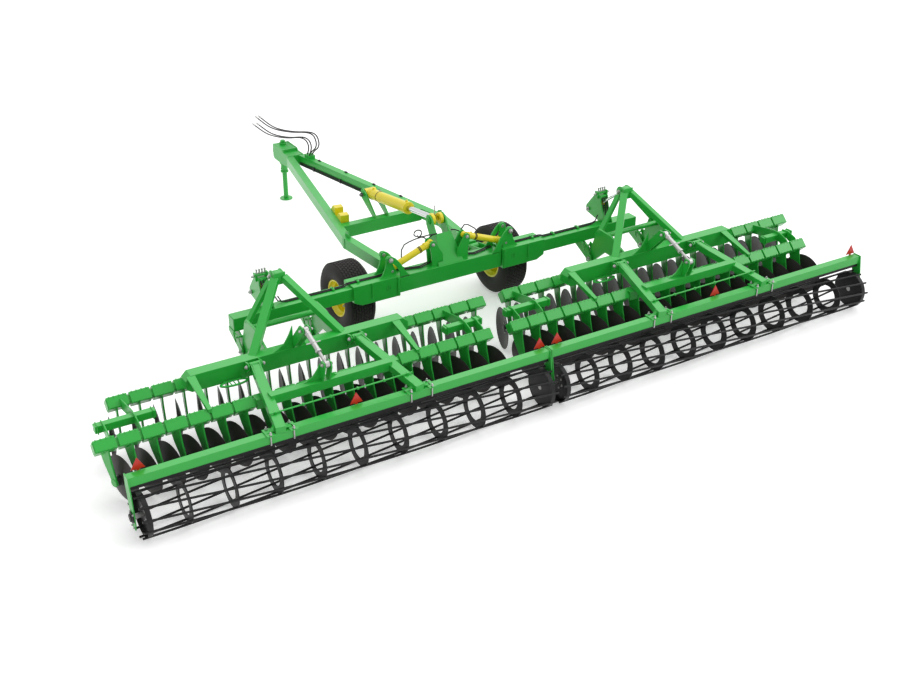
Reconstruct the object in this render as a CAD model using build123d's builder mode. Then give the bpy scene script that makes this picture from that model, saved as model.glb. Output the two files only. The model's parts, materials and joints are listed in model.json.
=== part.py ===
"""Trailed disc harrow: a wheeled carrier that pulls two harrow units side by side.

Millimetres. +Y points forward to the tow eye, +X to the right and +Z up. The origin lies on
the ground, below the middle of the whole machine.
"""

from build123d import *
import math
import os

os.makedirs("parts", exist_ok=True)

# Overall layout
ROLLER_Y = -3730.0
HALF_SPAN = 5000.0
UNIT_GAP = 10.0
UNIT_HALF = (HALF_SPAN - UNIT_GAP / 2) / 2
UNIT_CENTRE = UNIT_GAP / 2 + UNIT_HALF
SIDES = {"left": -1, "right": 1}
RUN = 0.3
GAP = 6.0

# Cage roller
ROLLER_RADIUS = 250.0
ROLLER_END_GAP = 20.0
BAR_RADIUS = 13.0
BAR_COUNT = 11
BAR_SIDES = 6
BAR_SPANS = 4
BAR_TWIST = 110.0
BAR_OVERHANG = 45.0
HOOP_COUNT = 9
HOOP_PITCH = UNIT_HALF * 0.1962
HOOP_OUTER = 240.0
HOOP_WIDTH = 92.0
HOOP_THICKNESS = 12.0
HOOP_SIDES = 12
DRUM_RIM = 55.0
DRUM_WALL = 10.0
STUB_RADIUS = 30.0

# Roller frame
ROLLER_BEAM = 100.0
ROLLER_BEAM_TOP = 700.0
END_PLATE = 12.0
END_PLATE_LOW = 110.0
ARM_SPREAD_HINGE = 625.0
ARM_SPREAD_BEAM = 820.0
ARM_WIDTH = 110.0
ARM_HEIGHT = 84.0
DEPTH_PIN_RADIUS = 18.0
DEPTH_Y = ROLLER_Y + 1080.0
DEPTH_Z = 910.0
CROSS_Y = ROLLER_Y + 480.0
CROSS_Z = 830.0
CROSS_BEAM = 100.0
ARM_SHIFT = -55.0
ARM_GAP = 14.0
REFLECTOR_PLACES = (147.5 - UNIT_HALF, 50.0, UNIT_HALF - 87.5)
REFLECTOR_LOW = 715.0
REFLECTOR_SIDE = 150.0
REFLECTOR_THICKNESS = 8.0

# Harrow unit frame
MAIN_SHIFT = -80.0
MAIN_HALF = 1360.0
MAIN_Y = ROLLER_Y + 1170.0
MAIN_DEPTH = 150.0
MAIN_HEIGHT = 200.0
MAIN_TOP = 940.0
ROW_Z = 700.0
ROW_TUBE = 100.0
FRONT_ROW_Y = ROLLER_Y + 1440.0
MIDDLE_ROW_Y = ROLLER_Y + 960.0
MIDDLE_ROW_Z = 760.0
REAR_ROW_Y = ROLLER_Y + 690.0

# Discs and their arms
DISC_PITCH = 250.0
DISC_COUNT = 19
FRONT_FIRST = -2130.0
REAR_FIRST = -2505.0
DISC_RADIUS = 280.0
DISC_SIDES = 10
DISC_DISH = 45.0
DISC_FLAT = 80.0
DISC_THICKNESS = 7.0
DISC_EDGE = 3.0
DISC_ANGLE = 16.0
DISC_Z = 295.0
DISC_TRAIL = 90.0
BLOCK = (205.0, 130.0, 116.0)
ARM_TOP = 170.0
ARM_NECK = 105.0
ARM_TIP = 56.0
ARM_THICKNESS = 24.0
HUB_RADIUS = 45.0
HUB_LENGTH = 62.0
HUB_SIDES = 6
ARM_START = 25.0
ARM_TIP_SHIFT = 30.0
ROW_OVERHANG = 110.0
MIDDLE_SHIFT = 48.0
MIDDLE_LEFT = REAR_FIRST + MIDDLE_SHIFT
MIDDLE_RIGHT = REAR_FIRST + MIDDLE_SHIFT + DISC_PITCH * (DISC_COUNT - 2)
DISC_ROWS = (
    (FRONT_FIRST, FRONT_ROW_Y, ROW_Z, -1, DISC_COUNT),
    (REAR_FIRST, REAR_ROW_Y, ROW_Z, 1, DISC_COUNT),
)
MIDDLE_ROWS = (
    (MIDDLE_LEFT, MIDDLE_ROW_Y, MIDDLE_ROW_Z, 1, 2),
    (MIDDLE_RIGHT, MIDDLE_ROW_Y, MIDDLE_ROW_Z, 1, 2),
)
ROW_LINKS = (
    (-2100.0, FRONT_ROW_Y, REAR_ROW_Y),
    (-2430.0, MIDDLE_ROW_Y, REAR_ROW_Y),
    (1895.0, FRONT_ROW_Y, REAR_ROW_Y),
    (2050.0, MIDDLE_ROW_Y, REAR_ROW_Y),
)
FRONT_GAPS = (3, 6, 10, 13)
REAR_GAPS = (4, 14)

# Three-point tower of a unit
APEX_Y = ROLLER_Y + 1930.0
APEX_Z = 1500.0
TOWER_BAR = (95.0, 70.0)
TOWER_TOP_X = 98.0
TOWER_FOOT_X = 560.0
LOWER_PIN_X = 440.0
LOWER_PIN_Y = ROLLER_Y + 1990.0
LOWER_PIN_Z = 590.0
LOWER_PIN_RADIUS = 18.0
APEX_PIN = (0.0, APEX_Y + 30.0, APEX_Z - 30.0)
UPPER_PIN = (0.0, ROLLER_Y + 2600.0, 1000.0)
LINK_PIN_RADIUS = 20.0
LINK_HALF = 42.0
LINK_PLATE = 16.0
UNIT_LUG = 30.0
PIN_SIDES = 12

# Carrier
CARRIER_Y = ROLLER_Y + 2205.0
CARRIER_TOP = 911.0
CENTRE_BEAM = 220.0
CENTRE_HALF = 750.0
WING_BEAM = 165.0
WING_END_X = UNIT_CENTRE + LOWER_PIN_X + 22.5
SLEEVE_IN_X = 762.0
SLEEVE_OUT_X = 1410.0
SLEEVE_WALL = 24.0
FOLD_PIN_X = 880.0
FOLD_PIN_Z = 1170.0
FOLD_PIN_RADIUS = 25.0
EAR = 20.0
AXLE_Y = ROLLER_Y + 2885.0
WHEEL_X = 1155.0
TYRE_RADIUS = 465.0
TYRE_WIDTH = 400.0
RIM_RADIUS = 240.0
RIM_WIDTH = 320.0
AXLE_BEAM = 110.0
AXLE_LEG_X = 450.0
AXLE_STUB_RADIUS = 40.0

# Drawbar
DRAW_X = 640.0
BEND_X = 730.0
BEND_Y = ROLLER_Y + 3700.0
BEND_LAP = 35.0
DRAW_Y = ROLLER_Y + 2700.0
DRAW_Z = 800.0
DRAW_PIN_RADIUS = 25.0
DRAW_EYE_RADIUS = 55.0
HEAD_REAR_Y = ROLLER_Y + 6900.0
HEAD_FRONT_Y = ROLLER_Y + 7480.0
HEAD_LOW = 680.0
HEAD_TOP = 920.0
HEAD_WIDTH = 260.0
DRAW_ARM_WIDTH = 110.0
DRAW_ARM_HEIGHT = 150.0
DRAW_CROSS_Y = ROLLER_Y + 4100.0
DRAW_CROSS = 120.0
CROSS_DEPTH = 170.0
EYE_BORE_RADIUS = 25.0
EYE_THICKNESS = 45.0
EYE_RADIUS = 65.0
EYE_Y = ROLLER_Y + 7640.0
EYE_Z = 740.0
JACK_Y = ROLLER_Y + 7380.0
JACK_LEG_RADIUS = 38.0
JACK_SLEEVE_RADIUS = 52.0
JACK_FOOT_RADIUS = 100.0
JACK_FOOT_THICKNESS = 12.0
CHOCK_PLACES = (ROLLER_Y + 4450.0, ROLLER_Y + 4740.0)
CHOCK_WIDTH = 120.0

# Lift cylinder between drawbar and carrier
LIFT_BASE = (0.0, ROLLER_Y + 4420.0, 1110.0)
LIFT_EYE = (0.0, ROLLER_Y + 2600.0, 1385.0)
LIFT_EYE_WIDTH = 160.0
LIFT_PIN_RADIUS = 30.0
LIFT_SIZES = (75.0, 36.0, 1120.0, 75.0, LIFT_EYE_WIDTH, LIFT_PIN_RADIUS)
LIFT_INSERTED = 500.0

# Fold cylinders
CENTRE_MID_Y = CARRIER_Y + CENTRE_BEAM / 2
FOLD_BASE_X = 250.0
FOLD_BASE_Z = 1215.0
FOLD_EYE_X = 840.0
FOLD_EYE_Z = 995.0
FOLD_EYE_WIDTH = 50.0
FOLD_END_PIN_RADIUS = 18.0
FOLD_SIZES = (42.0, 24.0, 570.0, 42.0, FOLD_EYE_WIDTH, FOLD_END_PIN_RADIUS)
FOLD_INSERTED = 470.0

# Turnbuckle between the unit's main beam and the roller frame
TURN_X = -130.0
TURN_TOP = (TURN_X, ROLLER_Y + 910.0, 1270.0)
TURN_LOW = (TURN_X, ROLLER_Y + 414.0, 1086.0)
TURN_EYE_WIDTH = 50.0
TURN_PIN_RADIUS = 16.0
TURN_SIZES = (30.0, 18.0, 330.0, 38.0, TURN_EYE_WIDTH, TURN_PIN_RADIUS)
TURN_INSERTED = 200.0

# Scrapers of the roller
SCRAPER_Y = 20.0
SCRAPER_Z = 600.0
SCRAPER_RAIL = 50.0
SCRAPER_LOW = 508.0
SCRAPER_WIDTH = 130.0

# Hoses to the tractor: their routes as pairs of distance ahead of the roller and height
HOSE_RADIUS = 10.0
GUIDE_LOW = (100.0, ROLLER_Y + 6650.0, DRAW_Z + DRAW_ARM_HEIGHT / 2)
GUIDE_HIGH = (215.0, ROLLER_Y + 6790.0, 922.1)
LOW_ROUTE = (
    (6755.0, 928.5),
    (6685.0, 1020.0),
    (6725.0, 1125.0),
    (6880.0, 1145.0),
    (7080.0, 1095.0),
    (7320.0, 1015.0),
    (7580.0, 945.0),
    (7840.0, 890.0),
    (8100.0, 850.0),
    (8360.0, 850.0),
    (8600.0, 870.0),
)
HIGH_ROUTE = (
    (6680.0, 929.6),
    (6585.0, 1020.0),
    (6450.0, 1100.0),
    (6385.0, 1200.0),
    (6455.0, 1300.0),
    (6610.0, 1305.0),
    (6860.0, 1245.0),
    (7130.0, 1165.0),
    (7400.0, 1100.0),
    (7670.0, 1045.0),
    (7930.0, 1010.0),
    (8190.0, 1015.0),
    (8430.0, 1045.0),
)
HOSES = (
    (LOW_ROUTE, 135.0, 30.0),
    (LOW_ROUTE, 180.0, 100.0),
    (HIGH_ROUTE, 130.0, 20.0),
    (HIGH_ROUTE, 175.0, 75.0),
)


def bar(start, end, width, depth):
    """Add a straight box bar from start to end, width level and depth across it."""
    axis = Vector(*end) - Vector(*start)
    level = axis.cross(Vector(0, 0, 1))
    if level.length < 1e-6:
        level = Vector(1, 0, 0)
    with BuildSketch(Plane(origin=start, x_dir=level, z_dir=axis)) as profile:
        Rectangle(width, depth)
    extrude(profile.sketch, amount=axis.length)


def rod(start, end, radius, mode=Mode.ADD):
    """Add or cut a round rod from start to end."""
    axis = Vector(*end) - Vector(*start)
    with BuildSketch(Plane(origin=start, z_dir=axis)) as profile:
        Circle(radius)
    extrude(profile.sketch, amount=axis.length, mode=mode)


def stud(start, end, radius, mode=Mode.ADD):
    """Add a fixed pin of few sides from start to end, or cut its bore round it."""
    axis = Vector(*end) - Vector(*start)
    wide = radius if mode == Mode.ADD else (radius + RUN) / math.cos(math.pi / PIN_SIDES)
    with BuildSketch(Plane(origin=start, z_dir=axis)) as profile:
        RegularPolygon(wide, PIN_SIDES)
    extrude(profile.sketch, amount=axis.length, mode=mode)


def plate(plane, points, thickness, mode=Mode.ADD):
    """Add or cut a flat plate with the outline points, centred on its plane."""
    with BuildSketch(plane) as outline:
        with BuildLine():
            Polyline(*points, close=True)
        make_face()
    extrude(outline.sketch, amount=thickness / 2, both=True, mode=mode)


def block(low, high):
    """Add a box from its low corner to its high corner."""
    size = [b - a for a, b in zip(low, high)]
    with Locations(tuple((a + b) / 2 for a, b in zip(low, high))):
        Box(*size)


def side_plane(x):
    """Plane across the machine at x: its own axes are Y and Z."""
    return Plane.YZ.offset(x)


def face_plane(y):
    """Upright plane facing rearward at y: its own axes are X and Z."""
    return Plane.XZ.offset(-y)


def along(start, end, distance):
    """Point at a distance from start on the way to end."""
    axis = (Vector(*end) - Vector(*start)).normalized()
    return tuple(Vector(*start) + axis * distance)


def ram(base, eye, cross, sizes, inserted):
    """Make the barrel, with its bored eye at base, and the rod, with its eye, of one ram.

    cross is the direction of both pins, and inserted how far the rod lies in the barrel.
    """
    barrel_radius, rod_radius, barrel_length, eye_radius, eye_width, pin_radius = sizes
    across = Vector(*cross) * (eye_width / 2)
    base_at, eye_at = Vector(*base), Vector(*eye)
    with BuildPart() as barrel:
        rod(along(base, eye, eye_radius / 2), along(base, eye, barrel_length), barrel_radius)
        rod(tuple(base_at - across), tuple(base_at + across), eye_radius)
        rod(tuple(base_at - across * 2), tuple(base_at + across * 2), pin_radius + RUN, Mode.SUBTRACT)
        bore_start = along(base, eye, eye_radius + 25)
        rod(bore_start, along(base, eye, barrel_length + 1), rod_radius + RUN, Mode.SUBTRACT)
    with BuildPart() as piston_rod:
        rod(along(base, eye, barrel_length - inserted), eye, rod_radius)
        rod(tuple(eye_at - across), tuple(eye_at + across), eye_radius)
    return barrel, piston_rod


def finish(piece, label, shift_x=0.0):
    """Name a finished piece and write it as one STEP file, moved sideways to its own unit."""
    piece.part.label = label
    export_step(piece.part.moved(Location((shift_x, 0, 0))), f"parts/{label}.step")


def finish_pair(piece, label):
    """Write one piece of a harrow unit for the left unit and for the right unit."""
    for name, side in SIDES.items():
        finish(piece, f"{label}_{name}", side * UNIT_CENTRE)


# Carrier: centre beam with the fold ears and the drawbar lugs
CENTRE_LOW = CARRIER_TOP - CENTRE_BEAM
EAR_OUTER = CENTRE_BEAM / 2 - EAR / 2
EAR_INNER = EAR_OUTER - EAR - GAP
CARRIER_FRONT = CARRIER_Y + CENTRE_BEAM
DRAW_LUG = 75.0

with BuildPart() as centre_beam:
    block((-CENTRE_HALF, CARRIER_Y, CENTRE_LOW), (CENTRE_HALF, CARRIER_FRONT, CARRIER_TOP))
    for side in SIDES.values():
        for offset in (-EAR_OUTER, EAR_OUTER):
            plate(
                face_plane(CENTRE_MID_Y + offset),
                [
                    (side * (CENTRE_HALF - 230), CARRIER_TOP - 20),
                    (side * (CENTRE_HALF - 1), CARRIER_TOP - 20),
                    (side * (CENTRE_HALF - 1), CARRIER_TOP + 50),
                    (side * (FOLD_PIN_X + 45), FOLD_PIN_Z - 50),
                    (side * (FOLD_PIN_X + 45), FOLD_PIN_Z + 45),
                    (side * (FOLD_PIN_X - 45), FOLD_PIN_Z + 45),
                ],
                EAR,
            )
        for end in (-1, 1):
            rod(
                (side * FOLD_PIN_X, CENTRE_MID_Y + end * (EAR_INNER - EAR / 2), FOLD_PIN_Z),
                (side * FOLD_PIN_X, CENTRE_MID_Y + end * (EAR_OUTER + EAR), FOLD_PIN_Z),
                FOLD_PIN_RADIUS,
            )
        for offset in (-DRAW_LUG, DRAW_LUG):
            plate(
                side_plane(side * DRAW_X + offset),
                [
                    (CARRIER_FRONT - 10, CENTRE_LOW),
                    (CARRIER_FRONT - 10, CARRIER_TOP),
                    (DRAW_Y, DRAW_Z + 60),
                    (DRAW_Y + 60, DRAW_Z + 30),
                    (DRAW_Y + 60, DRAW_Z - 30),
                    (DRAW_Y, DRAW_Z - 60),
                ],
                EAR,
            )
        rod(
            (side * DRAW_X - DRAW_LUG - EAR, DRAW_Y, DRAW_Z),
            (side * DRAW_X + DRAW_LUG + EAR, DRAW_Y, DRAW_Z),
            DRAW_PIN_RADIUS,
        )
finish(centre_beam, "centre_beam")

# Carrier: lift tower with its lugs, and the fold cylinders' anchor plates
TOWER_PLATE = 20.0
TOWER_PLATE_Y = FOLD_EYE_WIDTH / 2 + GAP + TOWER_PLATE / 2 + 20
LIFT_LUG_X = LIFT_EYE_WIDTH / 2 + GAP + TOWER_PLATE / 2

with BuildPart() as lift_tower:
    for side in SIDES.values():
        for offset in (-TOWER_PLATE_Y, TOWER_PLATE_Y):
            plate(
                face_plane(CENTRE_MID_Y + offset),
                [
                    (side * LIFT_LUG_X, CARRIER_TOP),
                    (side * (FOLD_BASE_X + 70), CARRIER_TOP),
                    (side * (FOLD_BASE_X + 45), FOLD_BASE_Z + 45),
                    (side * (FOLD_BASE_X - 40), FOLD_BASE_Z + 45),
                    (side * LIFT_LUG_X, FOLD_BASE_Z - 60),
                ],
                TOWER_PLATE,
            )
        plate(
            side_plane(side * LIFT_LUG_X),
            [
                (CARRIER_Y + 20, CARRIER_TOP),
                (CARRIER_FRONT, CARRIER_TOP),
                (LIFT_EYE[1] + 70, LIFT_EYE[2] - 60),
                (LIFT_EYE[1] + 70, LIFT_EYE[2] + 50),
                (LIFT_EYE[1], LIFT_EYE[2] + 75),
                (LIFT_EYE[1] - 80, LIFT_EYE[2] + 40),
            ],
            TOWER_PLATE,
        )
        rod(
            (side * FOLD_BASE_X, CENTRE_MID_Y - TOWER_PLATE_Y, FOLD_BASE_Z),
            (side * FOLD_BASE_X, CENTRE_MID_Y + TOWER_PLATE_Y, FOLD_BASE_Z),
            FOLD_END_PIN_RADIUS,
        )
    gusset_foot = Vector(0, CARRIER_Y + 24, CARRIER_TOP)
    gusset_rise = Vector(0, LIFT_EYE[1] - 104, LIFT_EYE[2] + 20) - gusset_foot
    gusset_plane = Plane(origin=gusset_foot, x_dir=(1, 0, 0), z_dir=Vector(1, 0, 0).cross(gusset_rise))
    plate(
        gusset_plane,
        [
            (-LIFT_LUG_X - 90, 0),
            (LIFT_LUG_X + 90, 0),
            (LIFT_LUG_X + 10, gusset_rise.length),
            (-LIFT_LUG_X - 10, gusset_rise.length),
        ],
        TOWER_PLATE,
    )
    split(bisect_by=Plane.XY.offset(CARRIER_TOP), keep=Keep.TOP)
finish(lift_tower, "lift_tower")

# Axle below the drawbar's arms, with legs from the centre beam's front face
with BuildPart() as axle:
    rod(
        (-WHEEL_X - RIM_WIDTH / 2, AXLE_Y, TYRE_RADIUS),
        (WHEEL_X + RIM_WIDTH / 2, AXLE_Y, TYRE_RADIUS),
        AXLE_STUB_RADIUS,
    )
    inner_x = WHEEL_X - TYRE_WIDTH / 2 - 60
    block(
        (-inner_x, AXLE_Y - AXLE_BEAM / 2, TYRE_RADIUS - AXLE_BEAM / 2),
        (inner_x, AXLE_Y + AXLE_BEAM / 2, TYRE_RADIUS + AXLE_BEAM / 2),
    )
    for side in SIDES.values():
        plate(
            side_plane(side * AXLE_LEG_X),
            [
                (CARRIER_FRONT, CENTRE_LOW + 10),
                (CARRIER_FRONT, CARRIER_TOP - 20),
                (CARRIER_FRONT + 90, CARRIER_TOP - 60),
                (AXLE_Y + 40, TYRE_RADIUS + 40),
                (AXLE_Y - 40, TYRE_RADIUS - 40),
            ],
            90,
        )
finish(axle, "axle")

# Wheels
for name, side in SIDES.items():
    wheel_centre = (side * WHEEL_X, AXLE_Y, TYRE_RADIUS)
    axle_line = Axis(wheel_centre, (1, 0, 0))
    half = TYRE_WIDTH / 2
    with BuildPart() as tyre:
        with BuildSketch(Plane(origin=wheel_centre, x_dir=(1, 0, 0), z_dir=(0, -1, 0))):
            with BuildLine():
                Polyline(
                    (-half + 40, RIM_RADIUS + RUN),
                    (half - 40, RIM_RADIUS + RUN),
                    (half, TYRE_RADIUS - 120),
                    (half - 45, TYRE_RADIUS),
                    (-half + 45, TYRE_RADIUS),
                    (-half, TYRE_RADIUS - 120),
                    close=True,
                )
            make_face()
        revolve(axis=axle_line)
    finish(tyre, f"tyre_{name}")
    with BuildPart() as rim:
        with BuildSketch(Plane(origin=wheel_centre, x_dir=(side, 0, 0), z_dir=(0, side, 0))):
            with BuildLine():
                Polyline(
                    (-RIM_WIDTH / 2, RIM_RADIUS),
                    (RIM_WIDTH / 2, RIM_RADIUS),
                    (60, RIM_RADIUS - 40),
                    (60, AXLE_STUB_RADIUS + RUN),
                    (20, AXLE_STUB_RADIUS + RUN),
                    (20, RIM_RADIUS - 40),
                    close=True,
                )
            make_face()
        revolve(axis=axle_line)
    finish(rim, f"rim_{name}")

# Lift cylinder: barrel on the drawbar's post, rod eye in the tower's lugs
lift_barrel, lift_rod = ram(LIFT_BASE, LIFT_EYE, (1, 0, 0), LIFT_SIZES, LIFT_INSERTED)
finish(lift_barrel, "lift_barrel")
finish(lift_rod, "lift_rod")

# Fold cylinders: barrel on the tower, rod eye between the wing's ears
for name, side in SIDES.items():
    fold_base = (side * FOLD_BASE_X, CENTRE_MID_Y, FOLD_BASE_Z)
    fold_eye = (side * FOLD_EYE_X, CENTRE_MID_Y, FOLD_EYE_Z)
    fold_barrel, fold_rod = ram(fold_base, fold_eye, (0, 1, 0), FOLD_SIZES, FOLD_INSERTED)
    finish(fold_barrel, f"fold_barrel_{name}")
    finish(fold_rod, f"fold_rod_{name}")

# Drawbar: head, two arms, cross beam with the cylinder's post, tow eye and jack
ARM_LUG_HALF = DRAW_LUG - EAR / 2 - GAP
head_join = HEAD_WIDTH / 2
with BuildPart() as drawbar_head:
    block((-HEAD_WIDTH / 2, HEAD_REAR_Y, HEAD_LOW), (HEAD_WIDTH / 2, HEAD_FRONT_Y, HEAD_TOP))
    rod((0, JACK_Y, HEAD_LOW - 60), (0, JACK_Y, HEAD_TOP + 100), JACK_SLEEVE_RADIUS)
    rod((0, JACK_Y, HEAD_LOW - 70), (0, JACK_Y, HEAD_TOP + 110), JACK_LEG_RADIUS + RUN, Mode.SUBTRACT)
finish(drawbar_head, "drawbar_head")
for name, side in SIDES.items():
    with BuildPart() as drawbar_arm:
        start = (side * DRAW_X, DRAW_Y + 40, DRAW_Z)
        bend = (side * BEND_X, BEND_Y, DRAW_Z)
        end = (side * (head_join - 70), HEAD_REAR_Y + 200, (HEAD_LOW + HEAD_TOP) / 2)
        bar(start, along(bend, start, -BEND_LAP), DRAW_ARM_WIDTH, DRAW_ARM_HEIGHT)
        bar(along(bend, end, -BEND_LAP), end, DRAW_ARM_WIDTH, DRAW_ARM_HEIGHT)
        plate(
            side_plane(side * (BEND_X - 15)),
            [
                (BEND_Y - 70, DRAW_Z + DRAW_ARM_HEIGHT / 2 - 5),
                (BEND_Y + 80, DRAW_Z + DRAW_ARM_HEIGHT / 2 - 5),
                (BEND_Y + 60, DRAW_Z + DRAW_ARM_HEIGHT / 2 + 60),
                (BEND_Y - 20, DRAW_Z + DRAW_ARM_HEIGHT / 2 + 90),
            ],
            16,
        )
        rod(
            (side * DRAW_X - ARM_LUG_HALF, DRAW_Y, DRAW_Z),
            (side * DRAW_X + ARM_LUG_HALF, DRAW_Y, DRAW_Z),
            DRAW_EYE_RADIUS,
        )
        rod(
            (side * DRAW_X - 100, DRAW_Y, DRAW_Z),
            (side * DRAW_X + 100, DRAW_Y, DRAW_Z),
            DRAW_PIN_RADIUS + RUN,
            Mode.SUBTRACT,
        )
        split(bisect_by=Plane.XZ.offset(-HEAD_REAR_Y), keep=Keep.TOP)
    finish(drawbar_arm, f"drawbar_arm_{name}")

# Drawbar: cross beam between the arms with the post of the lift cylinder
ARM_RUN_Y = HEAD_REAR_Y + 200 - BEND_Y
ARM_RUN_X = BEND_X - (head_join - 70)
ARM_LEAN = math.atan2(ARM_RUN_X, ARM_RUN_Y)
ARM_SIDE = DRAW_ARM_WIDTH / 2 / math.cos(ARM_LEAN)
CROSS_TOP = DRAW_Z + DRAW_ARM_HEIGHT / 2


def arm_centre(y):
    """Distance from the middle of the machine to the centre line of a drawbar arm at y."""
    return BEND_X - ARM_RUN_X * (y - BEND_Y) / ARM_RUN_Y


with BuildPart() as drawbar_cross:
    cross_rear = DRAW_CROSS_Y - DRAW_CROSS / 2
    cross_front = DRAW_CROSS_Y + DRAW_CROSS / 2
    rear_half = arm_centre(cross_rear) - ARM_SIDE
    front_half = arm_centre(cross_front) - ARM_SIDE
    plate(
        Plane.XY.offset(CROSS_TOP - CROSS_DEPTH / 2),
        [
            (-rear_half, cross_rear),
            (rear_half, cross_rear),
            (front_half, cross_front),
            (-front_half, cross_front),
        ],
        CROSS_DEPTH,
    )
    for side in SIDES.values():
        plate(
            side_plane(side * LIFT_LUG_X),
            [
                (cross_rear, CROSS_TOP - 5),
                (cross_front, CROSS_TOP - 5),
                (LIFT_BASE[1] + 60, LIFT_BASE[2] - 60),
                (LIFT_BASE[1] + 70, LIFT_BASE[2] + 40),
                (LIFT_BASE[1] + 30, LIFT_BASE[2] + 80),
                (LIFT_BASE[1] - 70, LIFT_BASE[2] + 40),
            ],
            TOWER_PLATE,
        )
    rod(
        (-LIFT_LUG_X - TOWER_PLATE, LIFT_BASE[1], LIFT_BASE[2]),
        (LIFT_LUG_X + TOWER_PLATE, LIFT_BASE[1], LIFT_BASE[2]),
        LIFT_PIN_RADIUS,
    )
finish(drawbar_cross, "drawbar_cross")

with BuildPart() as tow_eye:
    eye_low = (0, EYE_Y, EYE_Z - EYE_THICKNESS / 2)
    eye_high = (0, EYE_Y, EYE_Z + EYE_THICKNESS / 2)
    block((-35, HEAD_FRONT_Y, eye_low[2]), (35, EYE_Y - 30, eye_high[2]))
    rod(eye_low, eye_high, EYE_RADIUS)
    rod((0, EYE_Y, EYE_Z - EYE_THICKNESS), (0, EYE_Y, EYE_Z + EYE_THICKNESS), EYE_BORE_RADIUS, Mode.SUBTRACT)
finish(tow_eye, "tow_eye")

with BuildPart() as jack_leg:
    rod((0, JACK_Y, 0), (0, JACK_Y, JACK_FOOT_THICKNESS), JACK_FOOT_RADIUS)
    rod((0, JACK_Y, JACK_FOOT_THICKNESS - 1), (0, JACK_Y, HEAD_TOP + 60), JACK_LEG_RADIUS)
finish(jack_leg, "jack_leg")

# Wheel chocks on the inner face of the left drawbar arm
with BuildPart() as wheel_chocks:
    for chock_y in CHOCK_PLACES:
        inner = arm_centre(chock_y) - ARM_SIDE
        chock_plane = Plane(
            origin=(-inner, chock_y, DRAW_Z - 20),
            x_dir=(math.sin(ARM_LEAN), math.cos(ARM_LEAN), 0),
            z_dir=(math.cos(ARM_LEAN), -math.sin(ARM_LEAN), 0),
        )
        with BuildSketch(chock_plane) as wedge:
            with BuildLine():
                Polyline((0, 0), (0, 60), (-150, 190), (-260, 190), (-260, 0), close=True)
            make_face()
        extrude(wedge.sketch, amount=CHOCK_WIDTH)
finish(wheel_chocks, "wheel_chocks")

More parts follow.
